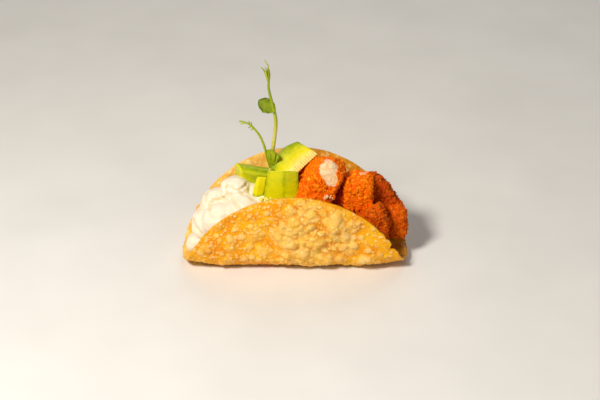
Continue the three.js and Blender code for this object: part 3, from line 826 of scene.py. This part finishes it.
def keep_off_wrapper(points, clearance):
    """Moves points that would cross the wrapper's inner face back inside it."""
    x, y, z = points.T
    curl = end_curl(x)
    level = np.where(z < END_LIFT_HEIGHT, (z - curl) / (1 - curl / END_LIFT_HEIGHT), z)
    for walk, slopes, side in ((FRONT_WALK, FRONT_SLOPES, -1), (BACK_WALK, BACK_SLOPES, 1)):
        distance = np.interp(level, walk[2][1:], walk[0][1:])
        wall = np.interp(distance, walk[0], walk[1])
        slope = np.radians(np.maximum(np.interp(distance, *zip(*slopes)), LEAST_SLOPE))
        lift = WRAPPER_THICKNESS + clearance + sway(x, side * distance - FOLD_OFFSET)
        y = side * np.minimum(y * side, wall - lift / np.sin(slope))
    z = np.maximum(z, curl + WRAPPER_THICKNESS + clearance)
    return np.stack([x, y, z], axis=1)


def bare_meat(index, points, normals):
    """1 where a piece's meat shows through the crumb and 0 elsewhere, with a ragged edge."""
    if index not in MEAT_OUTLINES:
        return np.zeros(len(points))
    depth = depth_inside(in_picture(points), MEAT_OUTLINES[index]) + layered_noise(points, *MEAT_EDGE_NOISE)
    return smooth(-0.5, 0.7, depth) * (normals @ FORWARD < -0.2)


def build_chicken_piece(index, spec, material):
    cells = min(int(2 * max(spec["half"]) / CRUST_STEP), CRUST_CELLS_MOST)
    points, triangles = chicken_form(spec, cells)
    normals = vertex_normals(points, triangles)
    areas = vertex_areas(points, triangles)
    rng = np.random.RandomState(spec["seed"])
    crumb_homes, shard_homes = (
        rng.choice(len(points), int(areas.sum() * density), p=areas / areas.sum())
        for density in (CRUMBS_PER_MM2, SHARDS_PER_MM2)
    )
    height, tone = crumb_field(points, normals, crumb_homes, rng)
    meat = bare_meat(index, points, normals)
    grit = layered_noise(points, (0.14, 1.3, spec["seed"]), (0.26, 2.8, spec["seed"] + 1))
    fibre = layered_noise(points * FIBRE_STRETCH, FIBRE_NOISE) + layered_noise(points, MEAT_NOISE)
    offset = (height - CRUST_SINK + grit) * (1 - meat) + (fibre - MEAT_SINK) * meat
    crust = points + normals * offset[:, None]
    # depth: 0 in the crevices between crumbs and 1 on tall crumbs; the material paints shade into the
    # crevices
    depth = np.clip(height / TALL_CRUMB, 0, 1)
    homes = shard_homes[meat[shard_homes] < 0.1]
    shards = crumb_shards(crust[homes], normals[homes], rng, SHARD_SIZES)
    full = np.ones(len(shards[0]))
    parts = [(crust, triangles, tone, depth, meat), (*shards, full, 0 * full)]
    points, faces, tone, depth, meat = joined(parts)
    points = keep_off_wrapper(points, CHICKEN_CLEARANCE)
    # shade: how much painted shade darkens this piece's crumb
    marks = dict(tone=tone, depth=depth, meat=meat, shade=spec["shade"])
    new_piece(
        f"chicken_crumbed_{index}", [f"chicken_{index}"], material, points, faces, marks,
        flat_from=len(triangles),
    )


def build_chicken_bits(material):
    rng = np.random.RandomState(BITS_SEED)
    parts = []
    for bit in CHICKEN_BITS:
        places, normals = settled(bit["centre"], bit["spread"], bit["count"], rng, "chicken_crumbed_1")
        flakes, faces, tones = crumb_shards(places, normals, rng, BIT_SIZES)
        parts.append((flakes, faces, tones, np.full(len(flakes), bit["meat"])))
    points, faces, tones, meat = joined(parts)
    marks = dict(tone=tones, depth=1.0, meat=meat, shade=0.0)
    new_piece("chicken_bits", ["chicken_6"], material, points, faces, marks, flat_from=0)


def build_chicken():
    material = crumb_material()
    for index, spec in enumerate(CHICKEN, start=1):
        build_chicken_piece(index, spec, material)
    build_chicken_bits(material)


def crumb_material():
    s = Shader("fried_crumb")
    crumb = s.ramp(
        s.attribute("tone"),
        (0.0, (240, 100, 0)), (0.5, (254, 126, 0)), (0.82, (255, 144, 4)), (1.0, (255, 168, 28)),
    )
    # painted shade: the crust in the crevices between crumbs takes a darker, redder orange
    colour = s.mix(s.attribute("depth"), linear(242, 98, 0), crumb)
    patches = s.ramp(s.noise(4.5, 3, 0.4), (0.42, 0.0), (0.62, 1.0))
    colour = s.mix(s.scaled(patches, 0.4), colour, linear(238, 98, 0))
    # painted shade: darkens the crumb of the pieces that lie in the shadow of others
    colour = s.mix(s.attribute("shade"), colour, CRUMB_SHADE, "MULTIPLY")
    meat = s.ramp(
        s.noise(1.5, 4, 1.2),
        (0.32, (240, 176, 116)), (0.46, (250, 206, 156)), (0.7, (254, 220, 180)),
    )
    colour = s.mix(s.attribute("meat"), colour, meat)
    normal = s.bump(s.noise(0.35, 4), 0.1, 0.6)
    roughness = s.ramp(s.noise(1.2, 3), (0.3, 0.45), (0.7, 0.75))
    return s.finish(
        colour, roughness, normal, Specular_IOR_Level=0.08,
        Subsurface_Weight=0.3, Subsurface_Radius=(1.0, 0.8, 0.2), Subsurface_Scale=0.4 * MM,
    )


# -------- cream
CREAM_VOXEL = 0.42
CREAM_SMOOTHING = 8
LOBE_CELLS = 16
CREAM_CLEARANCE = 0.3
CREAM_SWELLS = ((0.3, 8, 41), (0.12, 3.5, 42))
# The CAD's bed and lobes: centre and half sizes.
CREAM_LOBES = [
    ((-16, 2.4, 8.5), (25, 11.5, 9)),
    ((7, 3, 9), (17, 9.5, 9.5)),
    ((4, -3.5, 20), (12, 5.5, 8.5)),
    ((-23.6, 7, 26.4), (6.4, 7, 7.2)),
    ((-31.0, 8, 20.6), (6.8, 7.6, 6.6)),
    ((-35.6, 4.5, 13.4), (6, 8.2, 8)),
    ((-28.2, -1.6, 18.4), (9, 7.4, 7.4)),
    ((-20, -1, 21.2), (8.6, 8, 8.2)),
    ((-40.6, 2.4, 6.4), (3.2, 4.6, 3.8)),
    ((-10.5, 3, 20.5), (11, 10, 9.5)),
    ((-17, 9, 20.5), (10, 9, 9.5)),
]
# Folds between the cream's lobes, in the picture: depth and width in mm, then the line.
CREAM_FOLDS = [
    (0.7, 0.5, [(225.9, 195), (225.4, 189), (225.9, 184)]),
    (0.5, 0.5, [(225.9, 186), (229.7, 185.4), (233.6, 186.7), (236.8, 189.2), (241.2, 189), (245, 186),
                (246.6, 183.4)]),
    (0.85, 0.5, [(209.3, 208), (209.8, 203.5), (213.7, 199.7), (218.3, 198.5), (224.6, 197.6)]),
    (0.5, 0.6, [(226, 194.6), (229.7, 194.9), (232.8, 198.9), (235.9, 205), (240.2, 208)]),
    (0.35, 0.6, [(239.7, 190.5), (244.3, 195.1), (248.9, 196.6), (253.6, 200)]),
    (0.3, 0.5, [(247.5, 185), (249.8, 187.6), (249.2, 192.5)]),
    (0.6, 0.6, [(193, 220), (195.3, 226.5), (198.4, 231), (202, 234.2)]),
    (0.35, 0.8, [(209, 207.5), (208.7, 211.4), (211, 216), (218.5, 219), (226, 217)]),
    (0.35, 0.7, [(207, 193), (205.6, 199), (207, 205)]),
    (0.3, 0.7, [(197.4, 212), (200, 208.6), (203, 208.4)]),
]
LIP_HEIGHT = 0.3  # of the lips beside a fold, as a share of its depth
LIP_DISTANCE = 2.2  # from the fold's middle, in widths


def fold_relief(points, normals):
    """Height that the folds add at each point that faces the camera: a groove, with a low lip beside it."""
    places = in_picture(points)
    height = np.zeros(len(points))
    for depth, width, line in CREAM_FOLDS:
        away = distance_to_line(places, line) * MM_PER_PIXEL / width
        height += depth * (LIP_HEIGHT * np.exp(-((away - LIP_DISTANCE) ** 2)) - np.exp(-(away**2)))
    return height * smooth(0.0, 0.35, -normals @ FORWARD)


def build_cream():
    directions, quads = cube_sphere(LOBE_CELLS)
    points, faces = joined([(directions * half + centre, quads) for centre, half in CREAM_LOBES])
    points, faces = remeshed(points, faces, CREAM_VOXEL, CREAM_SMOOTHING)
    normals = vertex_normals(points, faces)
    folds = fold_relief(points, normals)
    points = points + normals * (layered_noise(points, *CREAM_SWELLS) + folds)[:, None]
    points = keep_off_wrapper(points, CREAM_CLEARANCE)
    # fold: how deep a point lies in a fold, where the material paints shade
    marks = dict(fold=np.clip(-folds, 0, 1))
    new_piece("cream_dollop", ["cream"], cream_material(), points, faces, marks)


def cream_material():
    s = Shader("thick_cream")
    colour = s.ramp(s.noise(7, 3, 0.5), (0.3, (238, 221, 194)), (0.7, (245, 232, 210)))
    # painted shade: a darker tan in the folds between the lobes
    colour = s.mix(s.scaled(s.attribute("fold"), 0.9), colour, linear(236, 198, 140))
    normal = s.bump(s.noise(2.2, 3, 1.2), 0.12, 0.4)
    roughness = s.ramp(s.noise(3, 2), (0.3, 0.36), (0.7, 0.5))
    return s.finish(
        colour, roughness, normal, Specular_IOR_Level=0.35,
        Subsurface_Weight=0.2, Subsurface_Radius=(1.0, 0.75, 0.4), Subsurface_Scale=0.6 * MM,
    )


# -------- cucumber
# Where the CAD's four pieces stand, how they are turned, and the measures that their marks need.
WEDGE = dict(
    place=(3.9, 4.7, 35.6), turn=(57, 0, 43), skin_radius=13.7, seed_edge=2.8, rib_spacing=1.0, first_gap=0.5
)
BLOCK = dict(place=(-4.4, -0.2, 40.4), turn=(-9, 3, 2), length=16.2, flare=0.24, ridge=0.4)
NUB = dict(place=(-11.8, 3.2, 31.3), turn=(-6, 6, 0))
STICK = dict(start=(-22.8, 12.4, 33.1), end=(-10.6, 11.2, 31.8), slant=(0.55, -0.15))
CUCUMBER_VOXEL = 0.24
CUCUMBER_SMOOTHING = 3
CUCUMBER_GROWTH = 0.1
PULP = dict(centre=(-11.3, -1.8, 28.8), spread=(0.85, 0.3, 0.3), count=16)
PULP_SIZES = (0.5, 1.2)
PULP_SEED = 4
PULP_DEPTH = 0.65


def own_frame(points, spec):
    """Points as a placed piece sees them. The wedge's x runs along its cut edge, its y out to the skin."""
    return (points - np.array(spec["place"])) @ turn_matrix(spec["turn"])


def shallower_sockets(points):
    """The wedge's points with the floors of its seed sockets brought out almost to its edge."""
    y = own_frame(points, WEDGE)[:, 1] - WEDGE["seed_edge"]
    floors = (y > 0.2) & (y < 0.4)
    return points - np.outer(0.75 * y * floors, turn_matrix(WEDGE["turn"])[:, 1])


# Each of the next four gives, for points of a piece, how deep in the fruit its surface lies (0 at the skin,
# 1 among the seeds), where the golden gaps between seed ribs are, and how far the surface sinks in mm.
# The block's depth also holds painted shade: it is lower on the block's right face and along its top edge.


def wedge_marks(points):
    x, y, _ = own_frame(points, WEDGE).T
    skin = np.sqrt(WEDGE["skin_radius"] ** 2 - np.minimum(x * x, 100))
    above_seeds = y - WEDGE["seed_edge"] + 0.3 * np.sin(1.9 * x) + 0.25 * np.sin(4.1 * x + 1)
    between_ribs = 0.5 + 0.5 * np.cos(2 * math.pi * (x - WEDGE["first_gap"]) / WEDGE["rib_spacing"])
    gap = (1 - smooth(1.4, 2.8, above_seeds)) * smooth(0.4, 0.8, between_ribs)
    return (skin - y) / (skin - WEDGE["seed_edge"]), 0.9 * gap, 0.14 * gap


def block_marks(points):
    x, y, z = own_frame(points, BLOCK).T
    x = x / (1 - BLOCK["flare"] * z / BLOCK["length"])
    ridge = np.exp(-(((x - BLOCK["ridge"]) / 0.7) ** 2)) * (y < 1.4)
    foot = smooth(-6, -14, z)
    corners = smooth(-4.9, -6.0, x) + smooth(4.4, 5.6, x)
    # painted shade: the block is greener and darker on its right face and along its top edge
    right_face_shade = smooth(0, 2, x)
    top_edge_shade = smooth(-1.0, 0, z)
    depth = 0.35 - (0.15 + 0.08 * foot) * ridge - 0.16 * corners - 0.05 * right_face_shade - 0.12 * top_edge_shade
    return depth, 0 * x, 0.16 * ridge


def nub_marks(points):
    x, _, z = own_frame(points, NUB).T
    pale = smooth(-1.4, 1.0, 0.75 * z - x)
    foot = smooth(-1.4, -3.4, z)
    return 0.2 + 0.26 * pale * (1 - foot) - 0.1 * foot, 0 * x, 0 * x


def stick_marks(points):
    start, end = (np.array(STICK[key], float) for key in ("start", "end"))
    forward = unit(end - start)
    side = unit(np.cross((0, 0, 1), forward))
    along, front = (points - start) @ forward, (start - points) @ side
    up = (points - start) @ np.cross(forward, side)
    behind_face = along - STICK["slant"][0] * front - STICK["slant"][1] * up
    high = smooth(1.2, 2.2, up)
    line = np.exp(-(((front - 2.0) / 0.7) ** 2)) * high
    top = smooth(2.2, 1.4, front) * high
    depth = 0.24 - 0.12 * smooth(2, 12, along) * (1 - top) - 0.1 * top - 0.12 * line
    cut_end = 1 - smooth(0.3, 0.8, behind_face)
    return depth + (0.34 - depth) * cut_end, 0 * up, 0 * up


CUCUMBER_MARKS = dict(
    cucumber_wedge=wedge_marks,
    cucumber_block=block_marks,
    cucumber_nub=nub_marks,
    cucumber_stick=stick_marks,
)


def build_cucumber():
    material = cucumber_material()
    for index, (node, marks_of) in enumerate(CUCUMBER_MARKS.items()):
        points, faces = mesh_arrays(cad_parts[node].data)
        points = points / MM
        if node == "cucumber_wedge":
            points = shallower_sockets(points)
        points, faces = remeshed(points, faces, CUCUMBER_VOXEL, CUCUMBER_SMOOTHING)
        depth, gap, sunk = marks_of(points)
        wobble = layered_noise(points, (0.1, 6, 60 + index), (0.03, 1.8, 70 + index))
        points = points + vertex_normals(points, faces) * (CUCUMBER_GROWTH + wobble - sunk)[:, None]
        new_piece(f"{node}_cut", [node], material, points, faces, dict(depth=depth, gap=gap))
    build_pulp(material)


def build_pulp(material):
    """A shred of pulp on the cream at the block's foot."""
    rng = np.random.RandomState(PULP_SEED)
    places, normals = settled(**PULP, rng=rng, carrier="cream_dollop")
    points, faces, _ = crumb_shards(places, normals, rng, PULP_SIZES)
    marks = dict(depth=PULP_DEPTH, gap=0.0)
    new_piece("cucumber_pulp", ["cucumber_block"], material, points, faces, marks)


def cucumber_material():
    s = Shader("cucumber_flesh")
    colour = s.ramp(
        s.varied(s.attribute("depth"), s.noise(2.2, 4, 0.6), 0.36),
        (0.0, (124, 146, 0)), (0.12, (164, 174, 0)), (0.34, (212, 208, 0)),
        (0.52, (230, 216, 0)), (0.64, (240, 226, 84)), (0.84, (248, 232, 150)),
    )
    colour = s.mix(s.attribute("gap"), colour, linear(238, 188, 8))
    normal = s.bump(s.noise(0.8, 3), 0.06, 0.5)
    roughness = s.ramp(s.noise(3, 2), (0.3, 0.28), (0.7, 0.46))
    return s.finish(
        colour, roughness, normal, Specular_IOR_Level=0.3,
        Subsurface_Weight=0.2, Subsurface_Radius=(0.8, 0.8, 0.05), Subsurface_Scale=1.0 * MM,
    )


# -------- pea shoot
# Stem, side tendril and their curls, from root to tip: radii at both ends, tones along the way, and points.
STEMS = [
    (0.95, 0.42, (1.0, 0.95, 0.35, 0.3), [
        (-11.2, 9.4, 28), (-9.5, 9, 37), (-8.9, 9, 44), (-8, 9, 51), (-7.5, 9, 56.4), (-7.8, 9, 60.4),
        (-8.6, 9, 64.2), (-9.7, 9, 69), (-10.2, 9, 72.3), (-10.1, 9, 75.8)]),
    (0.6, 0.3, (0.55, 0.5, 0.4), [
        (-9.7, 9, 36.4), (-10.7, 9, 40.5), (-12.3, 9, 47), (-13.8, 9, 51), (-15.6, 9, 53.7), (-17.3, 9, 55.7),
        (-19.7, 9, 57.1), (-21.8, 9, 57.5)]),
    (0.4, 0.12, (0.4, 0.7, 0.3), [
        (-10.1, 9, 75), (-10.3, 8.7, 79.6), (-10.2, 8.5, 81.4), (-11.0, 8.4, 83), (-11.6, 8.4, 84)]),
    (0.42, 0.16, (0.5, 0.3), [(-10.4, 9, 75), (-11.3, 9.1, 77.8), (-11.9, 9.3, 79.2), (-13.0, 9.4, 80.4)]),
    (0.5, 0.2, (0.5, 0.8), [(-10.1, 9, 75), (-10.9, 8.5, 77.8), (-11.1, 8.1, 79.8), (-11.4, 7.7, 81.4)]),
    (0.42, 0.14, (0.6, 0.5), [(-19.2, 9, 57), (-20.2, 8.7, 56.8), (-21.4, 8.3, 56.4)]),
    (0.3, 0.14, (0.35, 0.3), [(-17.2, 9, 55.8), (-17.0, 8.6, 56.6), (-17.2, 8.4, 57.5)]),
    (0.26, 0.12, (0.35, 0.3), [(-18.0, 9, 56.2), (-17.8, 8.7, 57.0), (-18.2, 8.5, 57.8)]),
    (0.34, 0.14, (0.35, 0.3), [(-17.2, 9, 55.4), (-17.8, 8.5, 55.0), (-18.3, 8.3, 54.9)]),
    (0.3, 0.14, (0.35, 0.3), [(-16.4, 9, 54.9), (-16.7, 8.5, 54.2), (-17.2, 8.3, 54.0)]),
]
# The round leaf, the pair at the shoot's foot and the small one at its tip.
LEAVES = [
    dict(foot=(-7.9, 9, 61.9), tip=(-14.1, 8.6, 66.9), facing=(0.2, -0.9, 0.35), width=5.9, widest=0.54,
         cup=0.8, crinkle=0.16, tone=0.27),
    dict(foot=(-9.4, 8.6, 35.4), tip=(-9.6, 7, 46.2), facing=(-0.1, -1, 0.3), width=4.4, widest=0.86,
         cup=0.3, crinkle=0.06, tone=0.52, spade=True),
    dict(foot=(-9.4, 8.6, 35.4), tip=(-7.6, 7, 44.8), facing=(-0.1, -1, 0.3), width=3.8, widest=0.84,
         cup=0.2, crinkle=0.05, tone=0.5, spade=True),
    dict(foot=(-9.9, 8.9, 75.2), tip=(-10.3, 8.6, 80.8), facing=(0.1, -1, 0.3), width=1.3, widest=0.5,
         cup=0.25, crinkle=0.05, tone=0.15),
]
STEM_SIDES = 12
STEM_STEPS = 8  # between two points
LEAF_CELLS = 28
LEAF_THICKNESS = 0.3


def smooth_path(points):
    """Points along a Catmull-Rom curve through the given ones."""
    p = np.array(points, float)
    p = np.vstack([2 * p[0] - p[1], p, 2 * p[-1] - p[-2]])
    t = np.linspace(0, 1, STEM_STEPS, endpoint=False)[:, None]
    spans = []
    for p0, p1, p2, p3 in zip(p[:-3], p[1:-2], p[2:-1], p[3:]):
        square = 2 * p0 - 5 * p1 + 4 * p2 - p3
        cube = 3 * p1 - p0 - 3 * p2 + p3
        spans.append(0.5 * (2 * p1 + (p2 - p0) * t + square * t**2 + cube * t**3))
    return np.vstack(spans + [p[-2:-1]])


def tube(root, tip, tones, points):
    """A closed tapering tube through points: its points, triangles and tones."""
    path = smooth_path(points)
    tangents = unit(np.gradient(path, axis=0))
    normal = unit(np.cross(tangents[0], (0.0, 1.0, 0.2)))
    angles = np.linspace(0, 2 * math.pi, STEM_SIDES, endpoint=False)
    rings = []
    for centre, tangent, radius in zip(path, tangents, np.linspace(root, tip, len(path))):
        normal = unit(normal - tangent * (normal @ tangent))
        side = np.cross(tangent, normal)
        rings.append(centre + radius * (np.outer(np.cos(angles), normal) + np.outer(np.sin(angles), side)))
    made = np.vstack(rings + [path[:1], path[-1:]])
    row, column = grid_places(np.arange(len(path) - 1), np.arange(STEM_SIDES))
    a = row * STEM_SIDES + column
    b = row * STEM_SIDES + (column + 1) % STEM_SIDES
    walls = halved(np.stack([a, b, b + STEM_SIDES, a + STEM_SIDES], axis=1))
    ring = np.arange(STEM_SIDES)
    following = (ring + 1) % STEM_SIDES
    last = (len(path) - 1) * STEM_SIDES
    root_cap = np.stack([following, ring, 0 * ring + len(made) - 2], axis=1)
    tip_cap = np.stack([last + ring, last + following, 0 * ring + len(made) - 1], axis=1)
    path_tones = np.interp(np.linspace(0, 1, len(path)), np.linspace(0, 1, len(tones)), tones)
    point_tones = np.concatenate([np.repeat(path_tones, STEM_SIDES), (tones[0], tones[-1])])
    return made, np.vstack([walls, root_cap, tip_cap]), point_tones


def leaf(foot, tip, facing, width, widest, cup, crinkle, tone, spade=False):
    """A thin cupped leaf with a crinkled edge: its points, triangles and tones, darker at the edge as painted
    shade.
    """
    foot, tip, facing = (np.array(v, float) for v in (foot, tip, facing))
    length = np.linalg.norm(tip - foot)
    along = unit(tip - foot)
    side = unit(np.cross(along, facing))
    out = np.cross(side, along)
    steps = np.linspace(-1, 1, LEAF_CELLS + 1)
    a, b = grid_places(steps, steps)
    t = (b + 1) / 2
    if spade:
        form = np.minimum(t / widest, np.sqrt(np.maximum((1 - t) / (1 - widest), 0)))
    else:
        form = np.maximum(np.sin(math.pi * t ** (math.log(0.5) / math.log(widest))), 0) ** 0.7
    half = (width / 2) * (0.14 + 0.86 * form)
    half += crinkle * np.abs(a) * np.sin(21 * t + 3 * np.sign(a)) * np.sin(math.pi * t)
    vein = 0.12 * np.exp(-((a / 0.08) ** 2))
    bend = cup * a * a + 0.2 * np.sin(7 * t + 2.5 * a) * np.abs(a) - vein
    bend += crinkle * a * a * np.sin(17 * t + 5 * a)
    middle = foot + np.outer(half * a, side) + np.outer(length * t, along)
    layers = [middle + np.outer(bend + lift, out) for lift in (-LEAF_THICKNESS / 2, LEAF_THICKNESS / 2)]
    border = grid_border(LEAF_CELLS)
    following = np.roll(border, -1)
    rim = np.stack([border, following, following + len(a), border + len(a)], axis=1)
    front, back = (grid_quads(LEAF_CELLS, flip) for flip in (False, True))
    quads = np.vstack([front, back + len(a), rim])
    # painted shade: the tone darkens towards the leaf's edge
    tones = np.tile(tone * (1 - 0.6 * a**4 * smooth(0, 0.4, t)), 2)
    return np.vstack(layers), halved(quads), tones


def build_pea_shoot():
    points, faces, tones = joined([tube(*stem) for stem in STEMS] + [leaf(**spec) for spec in LEAVES])
    new_piece("pea_shoot_green", ["pea_shoot"], pea_material(), points, faces, dict(tone=tones))


def pea_material():
    s = Shader("pea_shoot_green")
    colour = s.ramp(
        s.varied(s.attribute("tone"), s.noise(1.6, 3), 0.3),
        (0.0, (70, 98, 0)), (0.2, (122, 142, 0)), (0.45, (160, 176, 0)),
        (0.7, (180, 182, 30)), (1.0, (208, 200, 96)),
    )
    normal = s.bump(s.noise(0.7, 3), 0.06, 0.5)
    return s.finish(
        colour, 0.42, normal,
        Subsurface_Weight=0.2, Subsurface_Radius=(0.4, 1.0, 0.1), Subsurface_Scale=0.6 * MM,
    )


# -------- floor, lights and camera, in metres
FLOOR_HALF = 1.2
LIT_POINT = (0, 0, 0.02)
# Name, place, diameter, power in watts and colour.
LIGHTS = [
    ("key", (-0.26, -0.30, 0.46), 0.14, 3.75, (1.0, 0.95, 0.87)),
    ("fill", (0.5, -0.3, 0.3), 0.5, 0.5, (1.0, 0.97, 0.94)),
    ("back", (0.1, 0.5, 0.5), 0.4, 0.9, (1.0, 0.96, 0.9)),
]
WORLD_COLOUR = (0.95, 0.93, 0.9, 1)
WORLD_STRENGTH = 0.13


def build_stage():
    corners = np.array([(-1, -1, 0), (1, -1, 0), (1, 1, 0), (-1, 1, 0)]) * FLOOR_HALF
    floor = add_object("floor", new_mesh("floor", corners, np.array([(0, 1, 2, 3)])))
    s = Shader("floor_pale")
    colour = s.ramp(s.noise(40, 2), (0.3, (226, 224, 220)), (0.7, (232, 230, 226)))
    floor.data.materials.append(s.finish(colour, 0.7))


def build_lights():
    for name, place, diameter, power, colour in LIGHTS:
        data = bpy.data.lights.new(name, "AREA")
        data.shape = "DISK"
        data.size = diameter
        data.energy = power
        data.color = colour
        light = add_object(name, data)
        light.location = place
        light.rotation_euler = (Vector(LIT_POINT) - Vector(place)).to_track_quat("-Z", "Y").to_euler()
    world = bpy.data.worlds.new("studio")
    world.use_nodes = True
    background = world.node_tree.nodes["Background"].inputs
    background["Color"].default_value = WORLD_COLOUR
    background["Strength"].default_value = WORLD_STRENGTH
    bpy.context.scene.world = world


def build_camera():
    data = bpy.data.cameras.new("camera")
    data.lens = CAMERA_LENS
    data.sensor_width = CAMERA_SENSOR
    camera = add_object("camera", data)
    right, up, forward = Vector((1, 0, 0)), Vector(UP), Vector(FORWARD)
    camera.location = MM * (right * CAMERA_ASIDE + up * CAMERA_ABOVE - forward * CAMERA_DISTANCE)
    camera.rotation_euler = forward.to_track_quat("-Z", "Y").to_euler()
    bpy.context.scene.camera = camera


build_camera()
build_shell()
build_chicken()
build_cream()
build_cucumber()
build_pea_shoot()
build_stage()
build_lights()
bpy.context.scene.view_settings.view_transform = "Standard"
